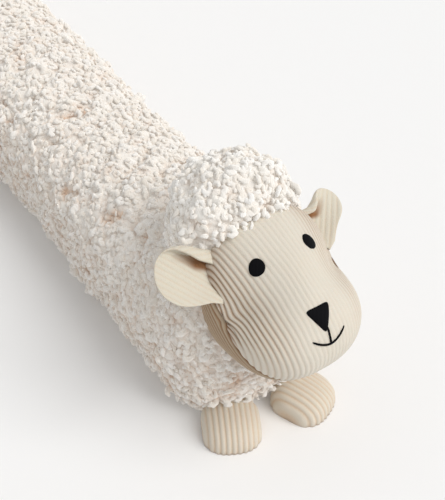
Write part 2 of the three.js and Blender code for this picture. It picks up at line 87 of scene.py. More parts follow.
# The head's side view as places (y, z) of a closed outline, round a centre.
HEAD_OUTLINE = np.array([
    [34, 185], [-2, 176], [-31, 162.5], [-50, 146], [-60, 122], [-52, 95],
    [-25, 79], [20, 74], [45, 90], [60, 128], [55, 165],
], dtype=float)
HEAD_CENTRE = np.array([6.0, 125.0])
HEAD_HALF_WIDTH = 54.0
HEAD_ROUND = 2.6
BROW = {"step": 1.8, "spread": 1.35, "rounder": 0.85, "narrower": 0.16, "fades_from": 0.5}
CHEEK_DEPTH = 50.0
# The small step over which the skin's slopes are taken.
SMALL_STEP = 0.02

SEAMS = {"ear": (37.0, 162.0), "forehead": (30.5, 186.0), "chin": (-50.0, 93.0),
         "neck": (21.0, 85.0)}
PANEL = {"first_step": -2.2, "last_step": 6.6, "seam_width": 3.5, "seam_depth": 1.8, "thickness": 7.0}
# The gusset's ribs start and end this far below the chin seam.
GUSSET = {"first": 0.15, "last": 49.0, "seam_width": 4.0, "seam_depth": 2.0}
# How much of the fold colour's painted shade the cloth's hidden inner side takes.
INSIDE_FOLD_SHADE = 0.3

EAR = {"buried": 8.0, "thickness": 4.4, "root_width": 40.0, "cup": 5.0,
       "fold_radius": 4.2, "fold_angle": 2.85, "flap_end": 0.75,
       "root": (-45.5, 24.5, 153.0), "root_line": (-5.4, -24.2, -17.3)}
EARS = {
    "ear_right": {"side": -1, "tip": (-82.0, 42.0, 166.0), "width": 50.0, "flap": 9.0, "opening": 0.1},
    "ear_left": {"side": 1, "tip": (-74.5, 37.0, 166.5), "width": 30.0, "flap": 3.0, "opening": 0.6},
}

FOOT = {"length": 51.0, "width": 50.0, "height": 25.0, "round": 2.6, "lower_toe": 0.12,
        "doming": 0.8, "crown": 0.7}
FEET = {
    "foot_right": {"x": -46.0, "y": -3.0, "turn": -28.0},
    "foot_left": {"x": 19.0, "y": -14.0, "turn": 22.0},
}

STITCH_RISE = 1.3
# How far over the head's skin the stitches start.
STITCH_SEAT = 0.09
EYE = {"x": 26.0, "step": 0.97, "radius": 6.1}
NOSE = {"x": -2.0, "step": 2.8, "edge": 7.0, "corner": 12.2, "round": 9}
MOUTH = {"top": 3.28, "middle": 3.68, "end": 3.42, "half_width": 14.5, "curve": 1.7, "line": 1.7}

# How each kind of corduroy piece is toned against the face. The gusset's darker, browner tone is painted
# shade under the chin.
GUSSET_SHADE_TINT = (0.68, 0.59, 0.49)
EAR_TINT = (0.98, 0.98, 0.95)
FOOT_TINT = (1.02, 1.0, 0.98)

# A lock has rings along it and sides round it. Its curl turns between two angles, tilts out of the
# cloth and shrinks to its end. Lift, lean and climb are shares of the curl's own radius.
CURL_RINGS = 6
CURL_SIDES = 5
CURL = {"turn": (3.7, 5.6), "tilt": 0.9, "shrink": 0.38, "lift": 0.55, "lean": 0.6, "climb": 0.2}
LARGE_CURLS = {"share": 0.35, "scale": 1.35}
# Width, height, root, belly, taper and end of a lock, as shares of its thickness.
LOCK = {"wide": 1.25, "high": 0.85, "root": 0.8, "belly": 0.3, "taper": 0.3, "end": 0.5}
GOLDEN = (math.sqrt(5) - 1) / 2

# Tufts rise and sink about a level, given as a share of their height. Their reach is squared.
BODY_TUFT = {"size": 12.0, "height": 5.0}
CAP_TUFT = {"size": 13.0, "height": 4.8}
TUFT_LEVEL = 0.25
TUFT_REACH = 0.75
# These numbers scatter the crowns of the tufts.
CROWN_MIX = np.array([[12.71, 26.95, 11.35], [31.17, 18.33, 27.19], [7.47, 24.61, 12.46]])
CROWN_SCATTER = 4375.8

# How far towards the tip colour each layer of the fleece is; what stays nearer the root colour is painted
# shade, and more painted warm shade is added beside the head and low on the tube.
LOCK_TIP = {"least": 0.06, "by_tuft": 0.56, "by_height": 0.14}
BACKING_TIP = {"least": 0.24, "by_tuft": 0.55, "by_painted_shade": 0.8, "tint": 0.3}
# Painted warm shade: its share beside the head, its reach from the head's skin, its share low on the tube
# and the heights over which it fades.
PAINTED_SHADE = {"by_head": 0.3, "reach": 0.35, "low": 0.25, "lowest": 40.0, "highest": 125.0}

# How near the floor each layer of the fleece may come.
LOWEST = {"tube": 0.4, "backing": 0.2, "curls": 0.3}

# The stage, in metres and degrees.
FLOOR_RADIUS = 12.0
KEY_LIGHT = {"way": (0.5, -0.75, 1.0), "spread": 42.0, "colour": (1.0, 0.99, 0.975)}
CAMERA = {"place": (-0.309, -0.762, 0.643), "turn": 34.6, "down": 44.2, "lens": 68.54, "sensor": 36}


class SheepFleeceSettings(bpy.types.PropertyGroup):
    """Sizes and colours of the curly fleece."""
    spacing: FloatProperty(
        name="Curl spacing", description="Distance from one curl to the next",
        default=0.0058, min=0.004, max=0.02, subtype="DISTANCE", unit="LENGTH")
    curl_radius: FloatProperty(
        name="Curl radius", description="Radius of the ring that one curl makes",
        default=0.0031, min=0.001, max=0.01, subtype="DISTANCE", unit="LENGTH")
    lock_radius: FloatProperty(
        name="Lock thickness", description="Radius of the lock of wool itself",
        default=0.00165, min=0.0005, max=0.005, subtype="DISTANCE", unit="LENGTH")
    depth: FloatProperty(
        name="Pile depth", description="How far the backing lies under the tips of the curls",
        default=0.0028, min=0.001, max=0.01, subtype="DISTANCE", unit="LENGTH")
    seed: IntProperty(name="Seed", description="Start of the random draws", default=7, min=0)
    # The root colour is painted warm shade: the colour deep between the curls, where shade falls.
    root_shade_colour: FloatVectorProperty(
        name="Root colour", description="Colour deep between the curls",
        default=(0.63, 0.43, 0.28), min=0, max=1, size=3, subtype="COLOR")
    tip_colour: FloatVectorProperty(
        name="Tip colour", description="Colour of the curls' tips",
        default=(0.82, 0.81, 0.79), min=0, max=1, size=3, subtype="COLOR")
    cap_colour: FloatVectorProperty(
        name="Head tip colour", description="Colour of the curls' tips on the head",
        default=(0.86, 0.855, 0.84), min=0, max=1, size=3, subtype="COLOR")


class SheepCorduroySettings(bpy.types.PropertyGroup):
    """Sizes and colours of the corduroy."""
    rib_height: FloatProperty(
        name="Rib height", description="Height of a rib over its groove",
        default=0.0010, min=0.0002, max=0.003, subtype="DISTANCE", unit="LENGTH")
    crest_colour: FloatVectorProperty(
        name="Crest colour", description="Colour of the ribs' crests",
        default=(0.71, 0.665, 0.58), min=0, max=1, size=3, subtype="COLOR")
    # The grooves' colour is partly the cloth's own tan and partly painted shade.
    groove_colour: FloatVectorProperty(
        name="Groove colour", description="Colour of the grooves between the ribs",
        default=(0.66, 0.53, 0.39), min=0, max=1, size=3, subtype="COLOR")
    # Painted shade in seams, folds, grooves, under the ear flaps and near the floor.
    fold_shade_colour: FloatVectorProperty(
        name="Fold colour", description="Colour deep in seams and folds",
        default=(0.28, 0.135, 0.06), min=0, max=1, size=3, subtype="COLOR")


class SheepStitchSettings(bpy.types.PropertyGroup):
    """Size and colour of the stitched eyes, nose and mouth."""
    rise: FloatProperty(
        name="Stitch rise", description="How far the satin stitch stands over the corduroy",
        default=STITCH_RISE / 1000, min=0.0005, max=0.003, subtype="DISTANCE", unit="LENGTH")
    colour: FloatVectorProperty(
        name="Thread colour", description="Colour of the stitching thread",
        default=(0.004, 0.004, 0.005), min=0, max=1, size=3, subtype="COLOR")


class SheepStageSettings(bpy.types.PropertyGroup):
    """The floor and its light."""
    floor_colour: FloatVectorProperty(
        name="Floor colour", description="Colour of the plain floor",
        default=(0.90, 0.90, 0.90), min=0, max=1, size=3, subtype="COLOR")
    key_power: FloatProperty(
        name="Key light", description="Strength of the large soft light", default=2.05, min=0)
    sky: FloatProperty(
        name="Sky light", description="Strength of the even light all round", default=0.55, min=0)


# Points, grids and meshes.


def to_scene(points):
    """Millimetres in the head's frame to metres in the part's frame: a shift along Y, then a scale."""
    return (np.asarray(points) - [0.0, HEAD_TO_MIDDLE, 0.0]) / 1000


def unit(vectors):
    """Each vector divided by its length."""
    return vectors / np.maximum(np.linalg.norm(vectors, axis=-1, keepdims=True), 1e-9)


def smoothstep(value, low, high):
    """0 below low, 1 above high, and 3t^2 - 2t^3 between them."""
    part = np.clip((value - low) / (high - low), 0, 1)
    return part * part * (3 - 2 * part)


def fullness(value, round_power):
    """The signed power 2/round: 2 gives an ellipse, more gives fuller corners."""
    return np.sign(value) * np.abs(value) ** (2 / round_power)


def grid_quads(rows, columns):
    """Quads between the rings of a grid whose columns run all the way round."""
    row = np.arange(rows - 1)[:, None]
    here = np.arange(columns)[None, :]
    after = (here + 1) % columns
    corners = [row * columns + here, row * columns + after,
               (row + 1) * columns + after, (row + 1) * columns + here]
    return np.stack(corners, axis=-1).reshape(-1, 4)


def end_fans(rows, columns, first, last):
    """Triangles that close the first and the last ring on a point each."""
    here = np.arange(columns)
    after = (here + 1) % columns
    end = (rows - 1) * columns
    start_fan = np.stack([np.full(columns, first), after, here], axis=1)
    end_fan = np.stack([np.full(columns, last), end + here, end + after], axis=1)
    return np.concatenate([start_fan, end_fan])


def volume_sign(points, triangles):
    """The sign of the volume: a sixth of each triangle's a . (b x c), summed."""
    a, b, c = (points[triangles[:, k]] for k in range(3))
    return np.sign(np.einsum("ij,ij->i", a, np.cross(b, c)).sum())


def new_piece(name, points, quads, triangles, attributes, material):
    """Puts points in metres and faces into a smooth closed mesh, turned outwards."""
    split = np.concatenate([triangles, quads[:, [0, 1, 2]], quads[:, [0, 2, 3]]])
    if volume_sign(points, split) < 0:
        quads, triangles = quads[:, ::-1], triangles[:, ::-1]
    mesh = bpy.data.meshes.new(name)
    mesh.vertices.add(len(points))
    mesh.vertices.foreach_set("co", points.astype(np.float32).ravel())
    corners = np.concatenate([quads.ravel(), triangles.ravel()]).astype(np.int32)
    sizes = np.concatenate([np.full(len(quads), 4), np.full(len(triangles), 3)])
    mesh.loops.add(len(corners))
    mesh.loops.foreach_set("vertex_index", corners)
    mesh.polygons.add(len(sizes))
    mesh.polygons.foreach_set("loop_start", (np.cumsum(sizes) - sizes).astype(np.int32))
    mesh.polygons.foreach_set("use_smooth", np.ones(len(sizes), dtype=bool))
    mesh.update(calc_edges=True)
    for label, values in attributes.items():
        layer = mesh.attributes.new(label, "FLOAT", "POINT")
        layer.data.foreach_set("value", values.astype(np.float32).ravel())
    if mesh.validate():
        raise RuntimeError(f"{name} had faulty faces")
    mesh.materials.append(material)
    piece = bpy.data.objects.new(name, mesh)
    bpy.context.scene.collection.objects.link(piece)
    return piece


def skin_piece(name, rings, attributes, material):
    """A piece whose skin runs through rings of points and closes on the middle of each end ring."""
    rows, columns, _ = rings.shape
    ends = [rings[0].mean(axis=0), rings[-1].mean(axis=0)]
    points = np.concatenate([rings.reshape(-1, 3), ends])
    whole = {}
    for label, values in attributes.items():
        whole[label] = np.concatenate([values.ravel(), [values[0].mean(), values[-1].mean()]])
    quads = grid_quads(rows, columns)
    fans = end_fans(rows, columns, rows * columns, rows * columns + 1)
    return new_piece(name, to_scene(points), quads, fans, whole, material)


def place_piece(piece, nodes=()):
    """Lets a piece ride on the part and, if asked, hides the solids it stands for."""
    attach(piece, "root")
    if nodes:
        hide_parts(*nodes)


# The shapes' formulas.


def lump(points, height):
    """Lumps of fleece: four sine waves that cross each other, each with its own way and start."""
    phase = points @ LUMP_WAVES[:, :3].T + LUMP_WAVES[:, 3]
    return height * (np.sin(phase) * LUMP_WAVES[:, 4]).sum(axis=-1)


def swell(y):
    """The tube swells and sinks slowly along its length: a long sine wave and half a short one."""
    long_wave = np.sin(y / BODY_SWELL["long"])
    return BODY_SWELL["height"] * (long_wave + np.sin(y / BODY_SWELL["short"]) / 2)


def body_rings(inward, cap_rows=36, straight_rows=170, sides=140):
    """Rings of the tube, sunk inward: rounded sections that close along a rounded curve at each end."""
    rear_end = LENGTH - MUZZLE_REACH
    middle_y = (BODY["front_end"] + rear_end) / 2
    straight = (rear_end - BODY["front_end"]) / 2 - BODY["end_length"]
    turn = np.linspace(np.pi / 2, 0, cap_rows, endpoint=False)[1:]
    past = np.sin(turn) ** (2 / BODY["blunt"])
    size = np.cos(turn) ** (2 / BODY["blunt"])
    reach = past * (BODY["end_length"] - inward)
    place = np.concatenate([-straight - reach, np.linspace(-straight, straight, straight_rows),
                            (straight + reach)[::-1]])
    size = np.concatenate([size, np.ones(straight_rows), size[::-1]])
    angle = 2 * np.pi * (np.arange(sides) + 0.5) / sides
    above = np.sin(angle) > 0
    height = np.where(above, BODY["top"] - BODY["middle"], BODY["under"])
    round_power = np.where(above, BODY_ROUND["above"], BODY_ROUND["below"])
    x = size[:, None] * fullness(np.cos(angle), round_power) * BODY["half_width"]
    z = size[:, None] * fullness(np.sin(angle), round_power) * height
    y = np.broadcast_to((middle_y + place)[:, None], x.shape)
    points = np.stack([x, y, BODY["middle"] + z], axis=-1)
    out = unit(np.stack([x, np.zeros_like(x), z], axis=-1))
    rise = swell(y) * size[:, None] + lump(points, BODY_LUMP)
    points = points + out * (rise - inward * np.minimum(1, 3 * size[:, None]))[..., None]
    points[..., 2] = np.maximum(points[..., 2], LOWEST["tube"])
    return points


def cap_rings(inward, rows=60, sides=96):
    """Rings of the head's cap: a rounded form, steeper in front than behind."""
    up = np.linspace(-np.pi / 2, np.pi / 2, rows + 2)[1:-1, None]
    turn = 2 * np.pi * np.arange(sides)[None, :] / sides
    in_front = np.sin(turn) < 0
    round_power = np.where(in_front, CAP_ROUND["front"], CAP_ROUND["back"])
    level = fullness(np.cos(up), round_power)
    reach = np.where(in_front, CAP["front_reach"], CAP["back_reach"])
    offset = np.stack([fullness(np.cos(turn), round_power) * level * CAP["half_width"],
                       fullness(np.sin(turn), round_power) * level * reach,
                       fullness(np.sin(up), round_power) * CAP["rise"]], axis=-1)
    points = offset + [0.0, CAP["middle_y"], CAP["middle_z"]]
    return points + unit(offset) * (lump(points, CAP_LUMP) - inward)[..., None]


def cap_fill(points):
    """Below 1 inside the cap's rounded form, 1 on its skin."""
    off = points - [0.0, CAP["middle_y"], CAP["middle_z"]]
    in_front = off[..., 1] < 0
    round_power = np.where(in_front, CAP_ROUND["front"], CAP_ROUND["back"])
    reach = np.where(in_front, CAP["front_reach"], CAP["back_reach"])
    shares = [np.abs(off[..., 0]) / CAP["half_width"], np.abs(off[..., 1]) / reach,
              np.abs(off[..., 2]) / CAP["rise"]]
    return sum(share ** round_power for share in shares)


def outline_at(step):
    """The smooth curve through the outline's points: cubics with half their neighbours' slopes."""
    first = np.floor(step).astype(int)
    part = (step - first)[..., None]
    p, q, r, s = (HEAD_OUTLINE[(first + k) % len(HEAD_OUTLINE)] for k in (-1, 0, 1, 2))
    cubic = (3 * q - p - 3 * r + s) * part ** 3 + (2 * p - 5 * q + 4 * r - s) * part ** 2
    return (cubic + (r - p) * part + 2 * q) / 2


def share_at(x, round_power):
    """How much of the side view is left at x: a rounded form across the head."""
    part = np.minimum(np.abs(x) / HEAD_HALF_WIDTH, 1)
    return (1 - part ** round_power) ** (1 / round_power)


def brow_at(step):
    """How near a step of the outline is to the brow: 1 there, and less like a bell round it."""
    steps = len(HEAD_OUTLINE)
    away = (step - BROW["step"] + steps / 2) % steps - steps / 2
    return np.exp(-((away / BROW["spread"]) ** 2))


def narrowing(brow, share):
    """The brow is narrower than the rest of the head, less so towards the sides' ends."""
    return 1 - BROW["narrower"] * brow * smoothstep(share, 0, BROW["fades_from"])


def head_skin(x, step):
    """The head's skin: the side view's outline, drawn in towards the centre by the share left at x."""
    x, step = np.broadcast_arrays(np.asarray(x, dtype=float), np.asarray(step, dtype=float))
    brow = brow_at(step)
    share = share_at(x, HEAD_ROUND - BROW["rounder"] * brow)
    side_view = HEAD_CENTRE + share[..., None] * (outline_at(step) - HEAD_CENTRE)
    return np.concatenate([(x * narrowing(brow, share))[..., None], side_view], axis=-1)


def head_normal(x, step):
    """Square to the head's skin, outwards: the cross product of small steps along and across it."""
    widest = HEAD_HALF_WIDTH - 2 * SMALL_STEP
    side = np.clip(x, -widest, widest)
    across = head_skin(side + SMALL_STEP, step) - head_skin(side - SMALL_STEP, step)
    along = head_skin(side, step + SMALL_STEP) - head_skin(side, step - SMALL_STEP)
    return unit(np.cross(along, across))


def girth_table(steps=240):
    """Places x across a cheek, and how far along the skin each lies from the middle."""
    angle = np.linspace(0, np.pi / 2, steps + 1)
    x = HEAD_HALF_WIDTH * fullness(np.sin(angle), HEAD_ROUND)
    drop = share_at(x, HEAD_ROUND) * CHEEK_DEPTH
    girth = np.concatenate([[0], np.cumsum(np.hypot(np.diff(x), np.diff(drop)))])
    return x, girth


GIRTH_X, GIRTH = girth_table()


def x_at_girth(girth):
    """The place x that lies that far along the skin."""
    return np.sign(girth) * np.interp(np.abs(girth), GIRTH, GIRTH_X)


def rib_girth(girth, step):
    """Ribs drift sideways, draw together to the chin and waver a little. The outermost stay in place."""
    free = 1 - (girth / GIRTH[-1]) ** 2
    gather = RIB_GATHER * smoothstep(step, 2.2, 5)
    waver = sum(far * np.sin(long * step + wide * girth + start) for far, long, wide, start in RIB_WAVER)
    return girth + free * (RIB_DRIFT * (step - 1.5) - gather * girth + waver)


def rib_shift(x, step):
    """How much further out ribs count beside the middle of a cheek, so that they run along the seam.

    Distances along the seam count less there, which draws the ribs' rounds out into long ones.
    """
    round_power = HEAD_ROUND - BROW["rounder"] * brow_at(step)
    share = share_at(x, round_power)
    offset = share[..., None] * (outline_at(step) - HEAD_CENTRE)
    along = offset @ unit(np.subtract(SEAMS["chin"], SEAMS["ear"]))
    reach = np.maximum((offset ** 2).sum(axis=-1), 1e-6)
    kept = smoothstep(share, -0.4, 1) ** 1.5
    drawn_out = share * np.sqrt(1 - (1 - kept) * along ** 2 / reach)
    further = HEAD_HALF_WIDTH * (1 - drawn_out ** round_power) ** (1 / round_power)
    return np.sign(x) * (np.interp(further, GIRTH_X, GIRTH) - np.interp(np.abs(x), GIRTH_X, GIRTH))


def rib_profile(girth):
    """A rib's height from 0 in the groove to 1 on the crest: half a cosine wave."""
    return np.abs(np.cos(np.pi * girth / RIB_PITCH))


def line_distance(points, start, end):
    """Signed distance in the side view from the line start to end, positive on its right."""
    along = unit(np.subtract(end, start))
    off = points[..., 1:] - np.asarray(start)
    return off[..., 0] * along[1] - off[..., 1] * along[0]


def front_distance(points):
    """How far points lie in front of the forehead seam and the neck seam, in the side view."""
    upper = line_distance(points, SEAMS["forehead"], SEAMS["ear"])
    lower = line_distance(points, SEAMS["ear"], SEAMS["neck"])
    return upper, lower


OUTLINE_TURN = np.linspace(0, len(HEAD_OUTLINE), 1408, endpoint=False)
OUTLINE_OFFSET = outline_at(OUTLINE_TURN) - HEAD_CENTRE
OUTLINE_ANGLE = np.arctan2(OUTLINE_OFFSET[:, 1], OUTLINE_OFFSET[:, 0])
OUTLINE_ORDER = np.argsort(OUTLINE_ANGLE)
OUTLINE_REACH = np.linalg.norm(OUTLINE_OFFSET, axis=1)[OUTLINE_ORDER]
OUTLINE_BROW = brow_at(OUTLINE_TURN)[OUTLINE_ORDER]
OUTLINE_ANGLE = OUTLINE_ANGLE[OUTLINE_ORDER]


def head_fill(points):
    """Below 1 inside the head, 1 on its skin: a rounded sum of the shares of width and of reach."""
    y, z = points[..., 1] - HEAD_CENTRE[0], points[..., 2] - HEAD_CENTRE[1]
    angle = np.arctan2(z, y)
    brow = np.interp(angle, OUTLINE_ANGLE, OUTLINE_BROW, period=2 * np.pi)
    share = np.hypot(y, z) / np.interp(angle, OUTLINE_ANGLE, OUTLINE_REACH, period=2 * np.pi)
    round_power = HEAD_ROUND - BROW["rounder"] * brow
    width = HEAD_HALF_WIDTH * narrowing(brow, share)
    return (np.abs(points[..., 0]) / width) ** round_power + share ** round_power


def body_space(points):
    """Below 1 inside the tube's rounded form: its section's fullness over what is left near the ends."""
    half_length = (LENGTH - MUZZLE_REACH - BODY["front_end"]) / 2
    past = np.abs(points[..., 1] - BODY["front_end"] - half_length) - half_length + BODY["end_length"]
    past = np.clip(past / BODY["end_length"], 0, 1)
    size = (1 - past ** BODY["blunt"]) ** (1 / BODY["blunt"])
    z = points[..., 2] - BODY["middle"]
    height = np.where(z > 0, BODY["top"] - BODY["middle"], BODY["under"])
    round_power = np.where(z > 0, BODY_ROUND["above"], BODY_ROUND["below"])
    across, upright = np.abs(points[..., 0]) / BODY["half_width"], np.abs(z) / height
    section = (across ** round_power + upright ** round_power) ** (1 / round_power)
    return section / np.maximum(size, 1e-6)


# Materials.


class Nodes:
    """Adds nodes to a material and links them."""

    def __init__(self, name):
        self.material = bpy.data.materials.new(name)
        self.material.use_nodes = True
        self.tree = self.material.node_tree
        self.shader = self.tree.nodes["Principled BSDF"]

    def add(self, kind, inputs=None, **settings):
        """A node of a kind with its settings, and its inputs set or linked."""
        node = self.tree.nodes.new("ShaderNode" + kind)
        for key, value in settings.items():
            setattr(node, key, value)
        for key, value in (inputs or {}).items():
            self.feed(node.inputs[key], value)
        return node

    def feed(self, socket, value):
        """Links an output to a socket, or sets the socket's value."""
        if isinstance(value, bpy.types.NodeSocket):
            self.tree.links.new(value, socket)
        else:
            socket.default_value = value

    def attribute(self, name):
        """A number kept on the piece's points."""
        return self.add("Attribute", attribute_name=name).outputs["Fac"]

    def noise(self, scale, detail=3.0, roughness=0.55, distortion=0.0):
        """Noise on the object's coordinates."""
        where = self.add("TexCoord").outputs["Object"]
        inputs = {"Vector": where, "Scale": scale, "Detail": detail, "Roughness": roughness,
                  "Distortion": distortion}
        return self.add("TexNoise", inputs).outputs["Fac"]

    def ramp(self, value, stops):
        """A colour ramp through (place, colour) stops."""
        node = self.add("ValToRGB", {"Fac": value})
        elements = node.color_ramp.elements
        while len(elements) < len(stops):
            elements.new(0.5)
        for element, (place, colour) in zip(elements, stops):
            element.position = place
            element.color = (*colour, 1)
        return node.outputs["Color"]

    def spread(self, value, low, high):
        """A number from 0 to 1 mapped to low and high."""
        return self.add("MapRange", {"Value": value, "To Min": low, "To Max": high}).outputs["Result"]

    def mix(self, amount, first, second, blend="MIX"):
        """Two colours mixed."""
        node = self.add("Mix", data_type="RGBA", blend_type=blend)
        self.feed(node.inputs[0], amount)
        self.feed(node.inputs[6], first if isinstance(first, bpy.types.NodeSocket) else (*first, 1))
        self.feed(node.inputs[7], second if isinstance(second, bpy.types.NodeSocket) else (*second, 1))
        return node.outputs[2]

    def maths(self, operation, first, second=0.0):
        """One step of arithmetic."""
        return self.add("Math", {0: first, 1: second}, operation=operation).outputs[0]

    def bump(self, height, distance, strength=1.0):
        """A bump from a height in metres."""
        inputs = {"Height": height, "Distance": distance, "Strength": strength}
        return self.add("Bump", inputs).outputs["Normal"]

    def surface(self, **values):
        """Sets or links the shader's sockets by their names with underscores."""
        for key, value in values.items():
            self.feed(self.shader.inputs[key.replace("_", " ")], value)
        return self.material


def corduroy_material(name, settings, tint=(1.0, 1.0, 1.0)):
    """Cotton corduroy: tan grooves, partly painted shade, paler worn crests, a short brushed nap and a
    soft sheen.
    """
    m = Nodes(name)
    crest = tuple(c * t for c, t in zip(settings.crest_colour, tint))
    groove = tuple(c * t for c, t in zip(settings.groove_colour, tint))
    nap = m.noise(1000.0, 4.0, 0.7)
    cloud = m.noise(24.0, 2.0)
    rib = m.attribute("rib")
    height = m.maths("ADD", rib, m.spread(nap, -0.45, 0.45))
    flank = tuple(0.35 * g + 0.65 * c for g, c in zip(groove, crest))
    colour = m.ramp(height, [(0.02, groove), (0.45, flank), (0.85, crest)])
    colour = m.mix(m.spread(cloud, 0.0, 0.22), colour, (0.93, 0.83, 0.74), "MULTIPLY")
    # Painted shade from the fold colour: in seams, in the cheeks' grooves, by and under the ears, near the
    # floor and on hidden inner sides.
    colour = m.mix(m.attribute("fold_shade"), colour, tuple(settings.fold_shade_colour))
    return m.surface(
        Base_Color=colour, Roughness=0.92, Specular_IOR_Level=0.25,
        Sheen_Weight=0.25, Sheen_Roughness=0.45, Sheen_Tint=(1.0, 0.95, 0.88, 1),
        Subsurface_Weight=0.08, Subsurface_Radius=(1.0, 0.6, 0.4), Subsurface_Scale=0.002,
        Normal=m.bump(nap, 0.0006, 0.9))


def fleece_material(name, root, tip):
    """Curly wool: warm tan painted shade deep in the pile, which also shows in patches, off-white tips and
    fine fibres.

    Its faint warm glow stands for the light that wool scatters from lock to lock.
    """
    m = Nodes(name)
    fuzz = m.noise(1300.0, 4.0, 0.65)
    swirl = m.noise(260.0, 3.0, 0.6, 2.4)
    where = m.add("TexCoord").outputs["Object"]
    strands = m.add("TexWave", {"Vector": where, "Scale": 110.0, "Distortion": 16.0, "Detail": 2.0,
                                "Detail Scale": 1.6}).outputs["Fac"]
    patch = m.spread(m.noise(48.0, 2.0), -1.0, 1.0)
    fibres = m.maths("SINE", m.maths("ADD", m.maths("MULTIPLY", m.attribute("round"), 15.0),
                                     m.maths("MULTIPLY", swirl, 9.0)))
    rise = m.maths("ADD", m.attribute("tip"), m.spread(swirl, -0.22, 0.22))
    rise = m.maths("ADD", rise, m.maths("MULTIPLY", patch, 0.38))
    # The ramp runs from the painted warm shade deep in the pile to the tip colour.
    middle = tuple(0.28 * r + 0.72 * t for r, t in zip(root, tip))
    colour = m.ramp(rise, [(0.0, tuple(root)), (0.35, middle), (0.75, tuple(tip))])
    colour = m.mix(m.attribute("tint"), colour, (0.93, 0.89, 0.83), "MULTIPLY")
    colour = m.mix(m.spread(strands, 0.14, 0.0), colour, tuple(root), "MULTIPLY")
    height = m.maths("ADD", m.maths("MULTIPLY", fibres, 0.08), swirl)
    height = m.maths("ADD", height, m.maths("MULTIPLY", strands, 0.7))
    height = m.maths("ADD", height, m.maths("MULTIPLY", fuzz, 0.3))
    return m.surface(
        Base_Color=colour, Roughness=0.95, Specular_IOR_Level=0.1, Diffuse_Roughness=1.0,
        Sheen_Weight=0.3, Sheen_Roughness=0.5, Sheen_Tint=(1.0, 0.98, 0.95, 1),
        Emission_Color=(1.0, 0.95, 0.88, 1), Emission_Strength=0.12,
        Normal=m.bump(height, 0.0022, 0.25))


def thread_material(name, settings, turn):
    """Black satin stitch: fine threads side by side, with a slight sheen along them."""
    m = Nodes(name)
    where = m.add("TexCoord").outputs["Object"]
    where = m.add("Mapping", {"Vector": where, "Rotation": (0.0, 0.0, turn)}).outputs["Vector"]
    threads = m.add("TexWave", {"Vector": where, "Scale": 330.0, "Distortion": 1.2, "Detail": 2.0},
                    wave_type="BANDS", bands_direction="X").outputs["Fac"]
    # Painted sheen along the threads and painted shade between them.
    thread_shade, thread_sheen = (tuple(share * c for c in settings.colour) for share in (0.55, 1.6))
    colour = m.mix(threads, thread_shade, thread_sheen)
    return m.surface(
        Base_Color=colour, Roughness=0.6, Specular_IOR_Level=0.05,
        Normal=m.bump(threads, 0.0002, 0.6))


# Fleece.


def ring_normals(rings):
    """Outward normals of closed rings: the cross product of the steps round them and along them."""
    around = np.roll(rings, -1, axis=1) - np.roll(rings, 1, axis=1)
    along = np.gradient(rings, axis=0)
    normals = unit(np.cross(around, along))
    outwards = rings - rings.mean(axis=1, keepdims=True)
    return normals * np.sign((normals * outwards).sum())


def spread_over(rings, spacing, rng):
    """Places spread evenly over a closed skin: equal areas along it, golden steps round it."""
    arcs = np.linalg.norm(np.roll(rings, -1, axis=1) - rings, axis=-1)
    table = np.concatenate([np.zeros((len(rings), 1)), np.cumsum(arcs, axis=1)], axis=1)
    girths = table[:, -1].copy()
    table /= girths[:, None]
    steps = np.linalg.norm(np.diff(rings, axis=0), axis=-1).mean(axis=1)
    areas = np.concatenate([[0], np.cumsum(steps * (girths[1:] + girths[:-1]) / 2)])
    count = int(areas[-1] / spacing ** 2)
    order = np.arange(count)
    row = np.interp((order + 0.5) / count * areas[-1], areas, np.arange(len(rings)))
    low = np.minimum(row.astype(int), len(rings) - 2)
    turn = (order * GOLDEN + 0.25 * spacing / girths[low] * rng.normal(size=count)) % 1
    column = (table[low] <= turn[:, None]).sum(axis=1) - 1
    width = table[low, column + 1] - table[low, column]
    part = ((turn - table[low, column]) / width)[:, None]
    after = (column + 1) % rings.shape[1]
    share = (row - low)[:, None]

    def blend(grid):
        start = grid[low, column] * (1 - part) + grid[low, after] * part
        end = grid[low + 1, column] * (1 - part) + grid[low + 1, after] * part
        return start * (1 - share) + end * share

    return blend(rings), unit(blend(ring_normals(rings)))


def tufts(points, size):
    """Round tufts of pile, 1 on each crown and 0 in the valleys between them.

    Each cube of a grid holds one crown, and a point's height falls with the square of its
    distance to the nearest crown. The crown's place in its cube is a sine's last digits.
    """
    place = points / size + 0.25 * np.sin(points[..., [1, 2, 0]] / size * 2.3)
    cube = np.floor(place)
    nearest = np.full(points.shape[:-1], 9.0)
    for step in np.ndindex(3, 3, 3):
        near_cube = cube + step - 1
        crown = near_cube + np.sin(near_cube @ CROWN_MIX) * CROWN_SCATTER % 1
        nearest = np.minimum(nearest, ((place - crown) ** 2).sum(axis=-1))
    return np.sqrt(np.maximum(0, 1 - nearest / TUFT_REACH))


def painted_shade(points):
    """How much painted warm shade the pile takes beside the head and low on the tube, where shade falls.

    It falls off from the head's skin like e to the power of minus the distance.
    """
    by_head = np.exp(-np.maximum(0, head_fill(points) - 1) / PAINTED_SHADE["reach"])
    low = 1 - smoothstep(points[..., 2], PAINTED_SHADE["lowest"], PAINTED_SHADE["highest"])
    return PAINTED_SHADE["by_head"] * by_head + PAINTED_SHADE["low"] * low


